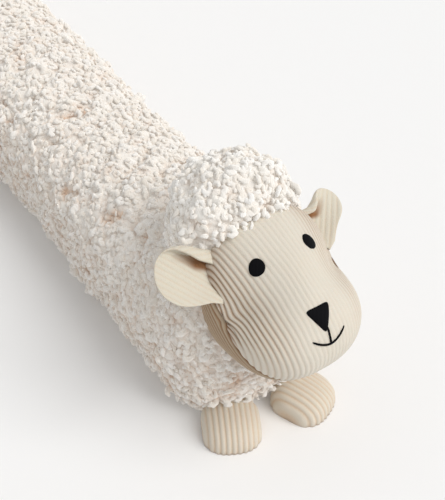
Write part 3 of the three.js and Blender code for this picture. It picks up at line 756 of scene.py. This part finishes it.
def curls(roots, normals, leans, sizes, thickness, rng):
    """Locks of wool. Each is a tapered tube along a spiral that climbs out of the backing.

    The spiral lies in a tilted plane: centre + radius * (cos turn * across + sin turn * up),
    where the radius shrinks along the lock and its first part dips down to the root.
    """
    count = len(roots)
    t = np.linspace(0, 1, CURL_RINGS)[None, :, None]
    azimuth = rng.uniform(0, 2 * np.pi, (count, 1))
    helper = np.where(np.abs(normals[:, 2:]) < 0.9, [[0.0, 0.0, 1.0]], [[0.0, 1.0, 0.0]])
    side = unit(np.cross(helper, normals))
    other = np.cross(normals, side)
    across = unit(np.cos(azimuth) * side + np.sin(azimuth) * other + leans)
    flat = unit(np.cross(normals, across))
    tilt = CURL["tilt"] * rng.uniform(size=(count, 1)) ** 2
    up = np.cos(tilt) * flat + np.sin(tilt) * normals
    axis = unit(np.cross(across, up))
    hand = rng.choice([-1.0, 1.0], (count, 1, 1))
    first_turn = rng.uniform(0, 2 * np.pi, (count, 1, 1))
    turn = first_turn + hand * rng.uniform(*CURL["turn"], (count, 1, 1)) * t
    radius = sizes[:, None, None] * (1 - CURL["shrink"] * t)
    lift = CURL["lift"] * sizes[:, None] * np.sin(tilt) + 0.4 * thickness[:, None]
    centre = roots + normals * lift + CURL["lean"] * leans * sizes[:, None]
    path = radius * (np.cos(turn) * across[:, None] + np.sin(turn) * up[:, None])
    dip = (lift[:, None] * 1.1 + thickness[:, None, None]) * (1 - t) ** 3
    climb = sizes[:, None, None] * CURL["climb"] * t
    path = centre[:, None] + path + normals[:, None] * (climb - dip)
    way = unit(np.gradient(path, axis=1))
    sideways = unit(np.cross(way, axis[:, None]))
    upright = np.cross(way, sideways)
    thick = thickness[:, None, None] * (LOCK["root"] + LOCK["belly"] * np.sin(np.pi * t))
    thick = thick * (1 - LOCK["taper"] * t ** 4)
    corner = 2 * np.pi * np.arange(CURL_SIDES)[None, None, :, None] / CURL_SIDES
    ring = (LOCK["wide"] * np.cos(corner) * sideways[:, :, None]
            + LOCK["high"] * np.sin(corner) * upright[:, :, None])
    skin = path[:, :, None] + thick[:, :, None] * ring
    ends = np.stack([path[:, 0] - way[:, 0] * thick[:, 0] * LOCK["end"],
                     path[:, -1] + way[:, -1] * thick[:, -1] * LOCK["end"]], axis=1)
    points = np.concatenate([skin.reshape(count, -1, 3), ends], axis=1)
    height = ((points - roots[:, None]) * normals[:, None]).sum(axis=-1)
    return points, height


def curl_piece(name, roots, normals, leans, tuft, settings, material, rng):
    """One piece of many locks, coloured by the tuft they grow on and how far they stand out of it."""
    count = len(roots)
    large = np.where(rng.uniform(size=count) < LARGE_CURLS["share"], LARGE_CURLS["scale"], 1)
    sizes = settings.curl_radius * 1000 * rng.uniform(0.6, 1.15, count) * large
    thickness = settings.lock_radius * 1000 * rng.uniform(0.8, 1.2, count) * large
    points, height = curls(roots, normals, leans, sizes, thickness, rng)
    points[..., 2] = np.maximum(points[..., 2], LOWEST["curls"])
    each = CURL_RINGS * CURL_SIDES
    step = (np.arange(count) * (each + 2))[:, None, None]
    quads = (grid_quads(CURL_RINGS, CURL_SIDES)[None] + step).reshape(-1, 4)
    fans = (end_fans(CURL_RINGS, CURL_SIDES, each, each + 1)[None] + step).reshape(-1, 3)
    tint = np.repeat(rng.uniform(0, 0.7, (count, 1)), each + 2, axis=1)
    corner = np.arange(CURL_SIDES) / CURL_SIDES
    turn = np.concatenate([np.tile(1 - np.abs(2 * corner - 1), CURL_RINGS), [0.5, 0.5]])
    # Painted shade: locks low in the pile and in the tufts' valleys lean to the root colour, with painted
    # warm shade added beside the head and low on the tube.
    on_root = LOCK_TIP["least"] + LOCK_TIP["by_tuft"] * tuft - painted_shade(roots)
    tip = np.clip(on_root[:, None] + LOCK_TIP["by_height"] * height, 0, 1)
    attributes = {"tip": tip, "tint": tint, "round": np.tile(turn, count)}
    return new_piece(name, to_scene(points.reshape(-1, 3)), quads, fans, attributes, material)


def backing_piece(name, node, rings, tuft, material):
    """The cloth that the locks grow on: a skin raised by its tufts, with no locks of its own."""
    crown = tufts(rings, tuft["size"])
    raised = rings + ring_normals(rings) * (tuft["height"] * (crown - TUFT_LEVEL))[..., None]
    raised[..., 2] = np.maximum(raised[..., 2], LOWEST["backing"])
    # Painted shade: the backing's valleys lean to the root colour, more beside the head and low on the
    # tube.
    tip = BACKING_TIP["least"] + BACKING_TIP["by_tuft"] * crown - BACKING_TIP["by_painted_shade"] * painted_shade(rings)
    attributes = {"tip": np.clip(tip, 0, 1), "tint": np.full(crown.shape, BACKING_TIP["tint"]),
                  "round": np.zeros(crown.shape)}
    place_piece(skin_piece(name, raised, attributes, material), [node])


def grow_curls(names, roots, normals, leans, tuft, settings, material, rng):
    """Locks on roots that are raised by their tufts, shared out in order among named pieces."""
    crown = tufts(roots, tuft["size"])
    roots = roots + normals * (tuft["height"] * (crown - TUFT_LEVEL))[:, None]
    for name, own in zip(names, np.array_split(np.arange(len(roots)), len(names))):
        piece = curl_piece(name, roots[own], normals[own], leans[own], crown[own], settings, material, rng)
        place_piece(piece)


def seam_lean(points):
    """Locks beside the head's seams lean forward over them: more, the nearer they are."""
    upper, lower = front_distance(points)
    behind = -np.minimum(upper, lower)
    near = np.exp(-np.clip(behind, 0, None) / 5) * (head_fill(points) < 1.45)
    return near[:, None] * [[0.0, -1.0, 0.1]]


def in_face(points, margin=1.0):
    """True inside the stuffed face: within the head's skin and in front of both seams or just behind."""
    upper, lower = front_distance(points)
    in_front = (upper > -margin) & (lower > -margin)
    return (head_fill(points) < 1) & in_front


def in_foot(points):
    """True inside one of the feet."""
    inside = np.zeros(len(points), dtype=bool)
    for foot in FEET.values():
        angle = math.radians(foot["turn"])
        off = points[:, :2] - [foot["x"], foot["y"]]
        x = off[:, 0] * math.cos(angle) + off[:, 1] * math.sin(angle)
        y = off[:, 1] * math.cos(angle) - off[:, 0] * math.sin(angle)
        near = np.hypot(x / (FOOT["width"] / 2 + 1), y / (FOOT["length"] / 2 + 1)) < 1
        inside |= near & (points[:, 2] < FOOT["height"])
    return inside


class SHEEP_OT_body(bpy.types.Operator):
    """Make the long fleece tube: its backing and the curls on it"""
    bl_idname = "sheep.body"
    bl_label = "Fleece tube"

    def execute(self, context):
        settings = context.scene.sheep_fleece
        rng = np.random.default_rng(settings.seed)
        depth = settings.depth * 1000
        material = fleece_material("fleece", settings.root_shade_colour, settings.tip_colour)
        rings = body_rings(depth, 36, 200, 170)
        backing_piece("fleece_body", "body", rings, BODY_TUFT, material)
        roots, normals = spread_over(body_rings(depth), settings.spacing * 1000, rng)
        # No locks grow inside the other pieces, and only each third one on the underside.
        hidden = in_face(roots) | in_foot(roots) | (cap_fill(roots + 2 * normals) < 0.92)
        under = (normals[:, 2] < -0.7) & (np.arange(len(roots)) % 3 > 0)
        roots, normals = roots[~hidden & ~under], normals[~hidden & ~under]
        # Locks hang down, the lowest ones most.
        low = smoothstep(55 - roots[:, 2], 0, 35)
        leans = 1.4 * seam_lean(roots) + (0.25 + 0.7 * low)[:, None] * [0.0, 0.0, -1.0]
        names = [f"fleece_curls_{part}" for part in (1, 2, 3, 4)]
        grow_curls(names, roots, normals, leans, BODY_TUFT, settings, material, rng)
        return {"FINISHED"}


class SHEEP_OT_cap(bpy.types.Operator):
    """Make the curly cap on the back of the head"""
    bl_idname = "sheep.cap"
    bl_label = "Head cap"

    def execute(self, context):
        settings = context.scene.sheep_fleece
        rng = np.random.default_rng(settings.seed + 1)
        depth = settings.depth * 1000
        # The head's painted shade is paler: half way from the root colour to the head's tip colour.
        root = tuple((r + t) / 2 for r, t in zip(settings.root_shade_colour, settings.cap_colour))
        material = fleece_material("head_fleece", root, settings.cap_colour)
        rings = cap_rings(depth, 110, 160)
        backing_piece("fleece_cap", "head_cap", rings, CAP_TUFT, material)
        roots, normals = spread_over(cap_rings(depth), settings.spacing * 900, rng)
        hidden = in_face(roots) | (body_space(roots) < 0.97)
        roots, normals = roots[~hidden], normals[~hidden]
        leans = 1.6 * seam_lean(roots)
        names = ["fleece_cap_curls"]
        grow_curls(names, roots, normals, leans, CAP_TUFT, settings, material, rng)
        return {"FINISHED"}


# Corduroy.


def inside_seams(girths, steps):
    """How far inside the forehead seam and the chin seam each step of each column of the face lies."""
    skin = head_skin(x_at_girth(rib_girth(girths[:, None], steps[None])), steps[None])
    upper, _ = front_distance(skin)
    return np.minimum(upper, line_distance(skin, SEAMS["ear"], SEAMS["chin"]))


def edge_crossings(inside, steps):
    """Where each row of numbers first rises through 0 and last falls through it, found on a line."""
    positive = inside > 0
    first = positive.argmax(axis=1)
    last = len(steps) - 1 - positive[:, ::-1].argmax(axis=1)
    rows = np.arange(len(inside))

    def crossing(outer, inner):
        a, b = inside[rows, outer], inside[rows, inner]
        return steps[inner] + (steps[outer] - steps[inner]) * b / (b - a)

    before, after = np.maximum(first - 1, 0), np.minimum(last + 1, len(steps) - 1)
    return crossing(before, first), crossing(after, last)


def edge_fade(distance, length):
    """1 away from a seam, falling to 0 at it like a quarter circle."""
    part = np.clip(distance / length, 0, 1)
    return np.sqrt(1 - (1 - part) ** 2)


def distances_along(skin):
    """How far each point of each ring lies from the ring's first: the sum of the steps between."""
    arcs = np.linalg.norm(np.diff(skin, axis=1), axis=-1)
    return np.concatenate([np.zeros((len(skin), 1)), np.cumsum(arcs, axis=1)], axis=1)


def corduroy_piece(node, surface, material):
    """A corduroy piece from its rings and attributes, in place of the solid whose name it ends on."""
    place_piece(skin_piece("corduroy_" + node, *surface, material), [node])


def panel_rings(settings, rows=120, per_rib=9):
    """The face's ribbed skin as one ring per column: over the outside and back behind it.

    Each column follows a rib from the forehead seam to the chin seam. Its ribs rise towards the
    cheeks and sink at the seams, and painted shade darkens the seams, the cheeks' grooves and the cloth by
    the ears.
    """
    steps = np.linspace(PANEL["first_step"], PANEL["last_step"], 900)
    wide = np.linspace(-GIRTH[-1], GIRTH[-1], 2001)[1:-1]
    shows = wide[(inside_seams(wide, steps) > 0).any(axis=1)]
    count = int((shows[-1] - shows[0]) / RIB_PITCH * per_rib)
    girths = np.linspace(shows[0], shows[-1], count)
    first, last = edge_crossings(inside_seams(girths, steps), steps)
    share = np.linspace(0, 1, rows)[None]
    step = first[:, None] + (last - first)[:, None] * share
    girth = np.broadcast_to(girths[:, None], step.shape)
    x = x_at_girth(rib_girth(girth, step))
    skin = head_skin(x, step)
    normal = head_normal(x, step)
    travelled = distances_along(skin)
    length = travelled[:, -1:]
    to_seam = np.minimum(travelled, length - travelled)
    to_side = np.minimum(girth - shows[0], shows[-1] - girth)
    fade = edge_fade(np.minimum(to_seam, to_side), PANEL["seam_width"])
    rib = rib_profile(girth + rib_shift(x, step))
    to_cheek = smoothstep(np.abs(girth), 20, 54)
    to_chin = smoothstep(travelled / length, 0.55, 0.85)
    rise = settings.rib_height * 1000 * (rib - RIB_LEVEL) * (0.4 + 0.8 * to_cheek * (1 - 0.4 * to_chin))
    rise = rise * (0.35 + 0.65 * fade) - PANEL["seam_depth"] * (1 - fade)
    outer = skin + normal * rise[..., None]
    back = np.linspace(rows - 1, 0, 8)[1:-1].astype(int)
    depth = np.minimum(PANEL["thickness"], 0.2 * length) * np.sqrt(np.sin(np.pi * back / (rows - 1)))[None]
    inner = skin[:, back] - normal[:, back] * (depth + 2.2)[..., None]
    rings = np.concatenate([outer, inner], axis=1)
    # Painted shade: in the seams, in the cheeks' grooves, less towards the chin, and by the ears.
    groove_shade = (1 - rib) * to_cheek * (1.2 - 0.9 * to_chin)
    shade_by_ear = 0.45 * np.exp(-travelled / 12) * to_cheek
    fold_shade = np.clip(0.7 * (1 - fade) ** 2 + 0.5 * groove_shade * (0.4 + 0.6 * fade) + shade_by_ear, 0, 1)
    fold_shade = np.concatenate([fold_shade, np.full(inner.shape[:2], INSIDE_FOLD_SHADE)], axis=1)
    # Painted shade in the grooves' colour too: deeper on the cheeks, less towards the chin, and at the
    # seams.
    rib = 1 - (1 - rib) * (0.35 + 0.65 * to_cheek * (1 - 0.5 * to_chin))
    ribs = np.concatenate([rib * (0.5 + 0.5 * fade), np.zeros(inner.shape[:2])], axis=1)
    return rings, {"rib": ribs, "fold_shade": fold_shade}


def gusset_rings(settings, per_rib=9, columns=120):
    """The gusset's ribbed skin: planes along the chin seam meet the head's skin, found by halving.

    Each plane gives one ring, from the neck seam on one side round the front to the other side,
    and back inside the head. Halving looks for the skin on lines out of the plane's own centre.
    """
    ear, chin = (np.array([0.0, *SEAMS[name]]) for name in ("ear", "chin"))
    along = unit(chin - ear)
    below = np.array([0.0, -along[2], along[1]])
    start = (ear + chin) / 2
    start = start + along * ((np.array([0.0, *HEAD_CENTRE]) - start) @ along)
    depths = np.linspace(GUSSET["first"], GUSSET["last"], int(GUSSET["last"] / RIB_PITCH * per_rib))
    centres = start + below * depths[:, None]

    def skin_at(angles):
        away = np.sin(angles)[..., None] * [1.0, 0.0, 0.0] + np.cos(angles)[..., None] * along
        inner, outer = np.zeros(angles.shape), np.full(angles.shape, 3 * HEAD_HALF_WIDTH)
        for _ in range(26):
            half = (inner + outer) / 2
            inside = head_fill(centres[:, None] + away * half[..., None]) < 1
            inner, outer = np.where(inside, half, inner), np.where(inside, outer, half)
        return centres[:, None] + away * inner[..., None], away

    turns = np.linspace(0, np.pi, 160)
    sweep, _ = skin_at(np.broadcast_to(turns, (len(depths), len(turns))))
    _, lower = front_distance(sweep)
    gone = (lower < 0).argmax(axis=1)
    rows = np.arange(len(depths))
    before, after = lower[rows, np.maximum(gone - 1, 0)], lower[rows, gone]
    limit = turns[np.maximum(gone - 1, 0)] + (turns[1] - turns[0]) * before / (before - after)
    angles = limit[:, None] * np.linspace(-1, 1, columns)[None]
    skin, away = skin_at(angles)
    travelled = distances_along(skin)
    to_neck = np.minimum(travelled, travelled[:, -1:] - travelled)
    depth = np.broadcast_to(depths[:, None], to_neck.shape)
    fade = edge_fade(depth, GUSSET["seam_width"])
    rib = rib_profile(depth - GUSSET["first"] + RIB_PITCH / 2)
    rise = settings.rib_height * 1000 * (rib - RIB_LEVEL) - GUSSET["seam_depth"] * (1 - fade)
    outer = skin + away * rise[..., None]
    back = np.linspace(columns - 1, 0, 12)[1:-1].astype(int)
    inner = centres[:, None] * 0.8 + skin[:, back] * 0.2
    rings = np.concatenate([outer, inner], axis=1)
    # Painted shade: along the chin seam, by the neck seams and in the grooves.
    fold_shade = np.clip(0.9 * (1 - fade) ** 1.5 + 0.25 * np.exp(-to_neck / 5) + 0.9 * (1 - rib), 0, 1)
    fold_shade = np.concatenate([fold_shade, np.full(inner.shape[:2], INSIDE_FOLD_SHADE)], axis=1)
    ribs = np.concatenate([rib, np.full(inner.shape[:2], 0.5)], axis=1)
    return rings, {"rib": ribs, "fold_shade": fold_shade}


def ear_rings(ear, settings, rows=64, columns=84):
    """A doubled petal: rows from the root to the tip, each over the front and back behind it.

    Its outline widens like a sine and rounds off at the tip. The upper edge turns forward round
    a small radius into a straight flap, and the rest is cupped by the square of its place across.
    """
    root, tip = np.array(EAR["root"]), np.array(ear["tip"])
    lengthways = tip - root
    length = np.linalg.norm(lengthways)
    lengthways = lengthways / length
    across = np.array(EAR["root_line"])
    across = unit(across - lengthways * (across @ lengthways))
    facing = unit(np.cross(lengthways, across))
    travel = 1 - (1 - np.linspace(0, 1, rows)) ** 1.6
    far = (travel * (length + EAR["buried"]) - EAR["buried"])[:, None]
    turn = np.linspace(0, 2 * np.pi, 2 * columns, endpoint=False)[None]
    part = (1 - np.cos(turn)) / 2
    layer = np.sign(np.sin(turn)) * np.abs(np.sin(turn)) ** 0.5
    along = np.maximum(0, far) / length
    widen = np.sin(np.minimum(1, along / 0.55) * np.pi / 2)
    half = (EAR["root_width"] + (ear["width"] - EAR["root_width"]) * widen) / 2
    round_off = np.sqrt(np.maximum(0.0004, 1 - (np.maximum(0, along - 0.42) / 0.58) ** 2.4))
    flap = ear["flap"] * np.maximum(0, 1 - along / EAR["flap_end"])
    fold_radius = EAR["fold_radius"] * (0.5 + 0.5 * smoothstep(along, 0, 0.35))
    sheet = round_off * (part * (2 * half + flap) - half - flap)
    fold_angle = EAR["fold_angle"] * (1 - ear["opening"] * along ** 2)
    fold_start = round_off * (fold_radius * fold_angle - half)
    folded = np.maximum(0, fold_start - sheet)
    turned = np.minimum(fold_angle, folded / fold_radius)
    straight = folded - turned * fold_radius
    flat = np.maximum(sheet, fold_start)
    cup = EAR["cup"] * (flat / half) ** 2
    full = 1 - 0.4 * along ** 4
    rib = rib_profile(sheet + 0.45 * far)
    rib_rise = settings.rib_height * 1000 * (rib - RIB_LEVEL) / 2
    rise = layer * (EAR["thickness"] / 2 + rib_rise) * full * np.sqrt(round_off)
    place_across = flat - (fold_radius - rise) * np.sin(turned) - straight * np.cos(fold_angle)
    place_up = cup + fold_radius * (1 - np.cos(turned)) + straight * np.sin(fold_angle)
    place_up = place_up + rise * np.cos(turned)
    points = root + far[..., None] * lengthways + place_across[..., None] * across
    points = points + place_up[..., None] * facing
    points[..., 0] *= -ear["side"]
    in_front = layer > 0
    # Painted shade in the crevice just past the fold, under the flap's edge, fading towards the ear's tip.
    covered = 0.96 * flap - 1.2
    past_fold = sheet - fold_start
    shade_under_flap = (1 - smoothstep(past_fold, covered + 2, covered + 7)) * (past_fold > 0) * in_front
    depth = np.clip(1.7 * (1 - along / EAR["flap_end"]), 0, 1)
    return points, {"rib": 0.4 + 0.6 * rib, "fold_shade": shade_under_flap * depth}


def foot_rings(foot, settings, steps=70, per_rib=9):
    """A domed cushion on a flat sole: each ring goes over the top from the heel to the toe.

    Its plan is a rounded form, and its height falls to the edges by powers of what is left of
    the width and the length. Ribs lie side by side and run from the heel to the toe.
    """
    ribs = round(FOOT["width"] / RIB_PITCH)
    share = (np.arange(ribs * per_rib) + 0.5) / (ribs * per_rib)
    across = (2 * share - 1)[:, None]
    reach = (1 - np.abs(across) ** FOOT["round"]) ** (1 / FOOT["round"])
    along = -np.cos(np.linspace(0, np.pi, steps))[None] * reach
    size = (1 - np.abs(along) ** FOOT["round"]) ** (1 / FOOT["round"])
    crown = np.maximum(0, 1 - (across / np.maximum(size, 1e-6)) ** 2) ** (FOOT["crown"] / 2)
    height = FOOT["height"] * (1 - FOOT["lower_toe"] * along) * size ** FOOT["doming"] * crown
    sideways = np.broadcast_to(across * FOOT["width"] / 2, along.shape)
    upper = np.stack([sideways, -along * FOOT["length"] / 2, height], axis=-1)
    normal = unit(np.cross(np.gradient(upper, axis=0), np.gradient(upper, axis=1)))
    normal = normal * np.where(normal[..., 2:] < 0, -1, 1)
    rib = np.abs(np.sin(np.pi * ribs * share))[:, None] + 0 * along
    upper = upper + normal * (settings.rib_height * 1000 * (rib - 1))[..., None]
    upper[..., 2] = np.maximum(upper[..., 2], 0)
    ends = upper[:, [-1, 0]] * [1.0, 1.0, 0.0]
    back = np.linspace(0, 1, 12)[1:-1][None, :, None]
    sole = ends[:, :1] * (1 - back) + ends[:, 1:] * back
    points = np.concatenate([upper, sole], axis=1)
    turned = math.radians(foot["turn"])
    x, y = points[..., 0].copy(), points[..., 1].copy()
    points[..., 0] = x * math.cos(turned) - y * math.sin(turned) + foot["x"]
    points[..., 1] = x * math.sin(turned) + y * math.cos(turned) + foot["y"]
    ribs_value = np.concatenate([rib, np.zeros(sole.shape[:2])], axis=1)
    # Painted shade near the floor, where the foot meets it.
    low = np.exp(-points[..., 2] / 2.0) * 0.3
    return points, {"rib": ribs_value, "fold_shade": low}


class SHEEP_OT_face(bpy.types.Operator):
    """Make the corduroy face and the gusset under its chin"""
    bl_idname = "sheep.face"
    bl_label = "Face and gusset"

    def execute(self, context):
        settings = context.scene.sheep_corduroy
        material = corduroy_material("corduroy_face", settings)
        corduroy_piece("face_panel", panel_rings(settings), material)
        material = corduroy_material("corduroy_gusset", settings, GUSSET_SHADE_TINT)
        corduroy_piece("face_gusset", gusset_rings(settings), material)
        return {"FINISHED"}


class SHEEP_OT_ears(bpy.types.Operator):
    """Make the two cupped corduroy ears"""
    bl_idname = "sheep.ears"
    bl_label = "Ears"

    def execute(self, context):
        settings = context.scene.sheep_corduroy
        material = corduroy_material("corduroy_ears", settings, EAR_TINT)
        for name, ear in EARS.items():
            corduroy_piece(name, ear_rings(ear, settings), material)
        return {"FINISHED"}


class SHEEP_OT_feet(bpy.types.Operator):
    """Make the two corduroy feet"""
    bl_idname = "sheep.feet"
    bl_label = "Feet"

    def execute(self, context):
        settings = context.scene.sheep_corduroy
        material = corduroy_material("corduroy_feet", settings, FOOT_TINT)
        for name, foot in FEET.items():
            corduroy_piece(name, foot_rings(foot, settings), material)
        return {"FINISHED"}


# Stitches.


def patch_rings(x, step, reach_at, rise_by, rows=14, sides=64):
    """A low dome inside an outline: rings from its underside, over its edge, to its middle."""
    here = head_skin(x, np.array([step - SMALL_STEP, step + SMALL_STEP]))
    per_step = np.linalg.norm(here[1] - here[0]) / (2 * SMALL_STEP)
    angle = 2 * np.pi * np.arange(sides)[None] / sides
    turn = np.linspace(0, np.pi / 2, rows)[:, None]
    share = np.concatenate([[[0.5]], [[0.97]], np.cos(turn)[:-1] ** 0.7])
    dome = STITCH_SEAT + rise_by * np.sin(turn)[:-1] ** 0.8
    rise = np.concatenate([[[STITCH_SEAT]], [[STITCH_SEAT]], dome])
    reach = reach_at(angle) * share
    where_x = x + reach * np.cos(angle)
    where_step = step - reach * np.sin(angle) / per_step
    return head_skin(where_x, where_step) + head_normal(where_x, where_step) * rise[..., None]


def line_rings(x, step, width, rise_by, sides=12):
    """A raised stitched line: half-round rings square to the path, thinner at both ends."""
    out = head_normal(x, step)
    base = head_skin(x, step) + out * STITCH_SEAT
    way = unit(np.gradient(base, axis=0))
    wide = unit(np.cross(way, out))
    angle = 2 * np.pi * np.arange(sides)[None, :, None] / sides
    share = np.linspace(-1, 1, len(x))[:, None, None]
    taper = (1 - np.abs(share) ** 6) ** 0.5 * 0.6 + 0.4
    stitches = 1 + 0.10 * np.sin(share * 60)
    return (base[:, None] + wide[:, None] * np.cos(angle) * width / 2 * taper * stitches
            + out[:, None] * (0.3 + np.sin(angle)) * rise_by / 1.3 * taper)


def nose_reach(angle):
    """A rounded triangle: the smaller of the reach to a straight edge and to a corner, blended."""
    third = 2 * np.pi / 3
    off_edge = (angle - np.pi / 2 + third / 2) % third - third / 2
    straight = NOSE["edge"] / np.cos(off_edge)
    return (straight ** -NOSE["round"] + NOSE["corner"] ** -NOSE["round"]) ** (-1 / NOSE["round"])


def stitched_piece(name, rings, material, *nodes):
    """A stitched piece from its rings, in place of the solids named."""
    place_piece(skin_piece("stitched_" + name, rings, {}, material), nodes)


class SHEEP_OT_stitches(bpy.types.Operator):
    """Stitch the eyes, the nose and the mouth"""
    bl_idname = "sheep.stitches"
    bl_label = "Eyes, nose and mouth"

    def execute(self, context):
        settings = context.scene.sheep_stitch
        rise = settings.rise * 1000
        material = thread_material("embroidery", settings, 0.6)
        for name, side in (("eye_right", -1), ("eye_left", 1)):
            rings = patch_rings(side * EYE["x"], EYE["step"], lambda angle: EYE["radius"], rise)
            stitched_piece(name, rings, material, name)
        stitched_piece("nose", patch_rings(NOSE["x"], NOSE["step"], nose_reach, rise), material, "nose")
        part = np.linspace(-1, 1, 61)
        smile_step = MOUTH["middle"] - (MOUTH["middle"] - MOUTH["end"]) * np.abs(part) ** MOUTH["curve"]
        smile = line_rings(part * MOUTH["half_width"], smile_step, MOUTH["line"], 1.0)
        stitched_piece("smile", smile, material, "mouth")
        stem_step = np.linspace(MOUTH["top"] - 0.1, MOUTH["middle"], 25)
        stem = line_rings(np.zeros(25), stem_step, MOUTH["line"], 1.0)
        stitched_piece("stem", stem, material)
        return {"FINISHED"}


# The stage.


class SHEEP_OT_stage(bpy.types.Operator):
    """Make the plain floor, the soft light and the camera"""
    bl_idname = "sheep.stage"
    bl_label = "Floor, light and camera"

    def execute(self, context):
        scene = context.scene
        settings = scene.sheep_stage
        m = Nodes("floor")
        colour = m.mix(m.spread(m.noise(3.0), 0.0, 0.02), tuple(settings.floor_colour), (0.8, 0.8, 0.8))
        m.surface(Base_Color=colour, Roughness=0.9, Specular_IOR_Level=0.1)
        mesh = bpy.data.meshes.new("floor")
        turn = np.linspace(0, 2 * np.pi, 96, endpoint=False)
        rim = np.stack([np.cos(turn), np.sin(turn), np.zeros(96)], axis=1) * FLOOR_RADIUS
        mesh.from_pydata(rim.tolist(), [], [list(range(96))])
        mesh.materials.append(m.material)
        floor = bpy.data.objects.new("floor", mesh)
        scene.collection.objects.link(floor)

        world = bpy.data.worlds.new("studio")
        world.use_nodes = True
        background = world.node_tree.nodes["Background"]
        background.inputs["Color"].default_value = (1.0, 1.0, 1.0, 1)
        background.inputs["Strength"].default_value = settings.sky
        scene.world = world

        light = bpy.data.lights.new("window_light", "SUN")
        light.energy = settings.key_power
        light.angle = math.radians(KEY_LIGHT["spread"])
        light.color = KEY_LIGHT["colour"]
        lamp = bpy.data.objects.new("window_light", light)
        lamp.rotation_euler = Vector(KEY_LIGHT["way"]).to_track_quat("Z", "Y").to_euler()
        scene.collection.objects.link(lamp)

        camera = bpy.data.objects.new("camera", bpy.data.cameras.new("camera"))
        turn, down = math.radians(CAMERA["turn"]), math.radians(CAMERA["down"])
        level = Vector((math.sin(turn), math.cos(turn), 0))
        forward = level * math.cos(down) - Vector((0, 0, math.sin(down)))
        right = Vector((math.cos(turn), -math.sin(turn), 0))
        facing = Matrix((right, right.cross(forward), -forward)).transposed().to_4x4()
        camera.matrix_world = Matrix.Translation(CAMERA["place"]) @ facing
        camera.data.lens = CAMERA["lens"]
        camera.data.sensor_width = CAMERA["sensor"]
        scene.collection.objects.link(camera)
        scene.camera = camera
        scene.view_settings.view_transform = "Standard"
        return {"FINISHED"}


class SHEEP_PT_panel(bpy.types.Panel):
    """Lists the pieces of the sheep and their sizes and colours."""
    bl_label = "Sheep draught excluder"
    bl_idname = "SHEEP_PT_panel"
    bl_space_type = "VIEW_3D"
    bl_region_type = "UI"
    bl_category = "Sheep"

    def draw(self, context):
        for name in SETTINGS:
            box = self.layout.box()
            for key in SETTINGS[name].__annotations__:
                box.prop(getattr(context.scene, name), key)
        for operator in OPERATORS:
            self.layout.operator(operator.bl_idname)


SETTINGS = {
    "sheep_fleece": SheepFleeceSettings,
    "sheep_corduroy": SheepCorduroySettings,
    "sheep_stitch": SheepStitchSettings,
    "sheep_stage": SheepStageSettings,
}
OPERATORS = (SHEEP_OT_body, SHEEP_OT_cap, SHEEP_OT_face, SHEEP_OT_ears, SHEEP_OT_feet,
             SHEEP_OT_stitches, SHEEP_OT_stage)


def register():
    for kind in (*SETTINGS.values(), *OPERATORS, SHEEP_PT_panel):
        bpy.utils.register_class(kind)
    for name, kind in SETTINGS.items():
        setattr(bpy.types.Scene, name, PointerProperty(type=kind))


def unregister():
    for name in SETTINGS:
        delattr(bpy.types.Scene, name)
    for kind in (SHEEP_PT_panel, *reversed(OPERATORS), *reversed(tuple(SETTINGS.values()))):
        bpy.utils.unregister_class(kind)


def main():
    register()
    bpy.ops.sheep.body()
    bpy.ops.sheep.cap()
    bpy.ops.sheep.face()
    bpy.ops.sheep.ears()
    bpy.ops.sheep.feet()
    bpy.ops.sheep.stitches()
    bpy.ops.sheep.stage()


if __name__ == "__main__":
    main()
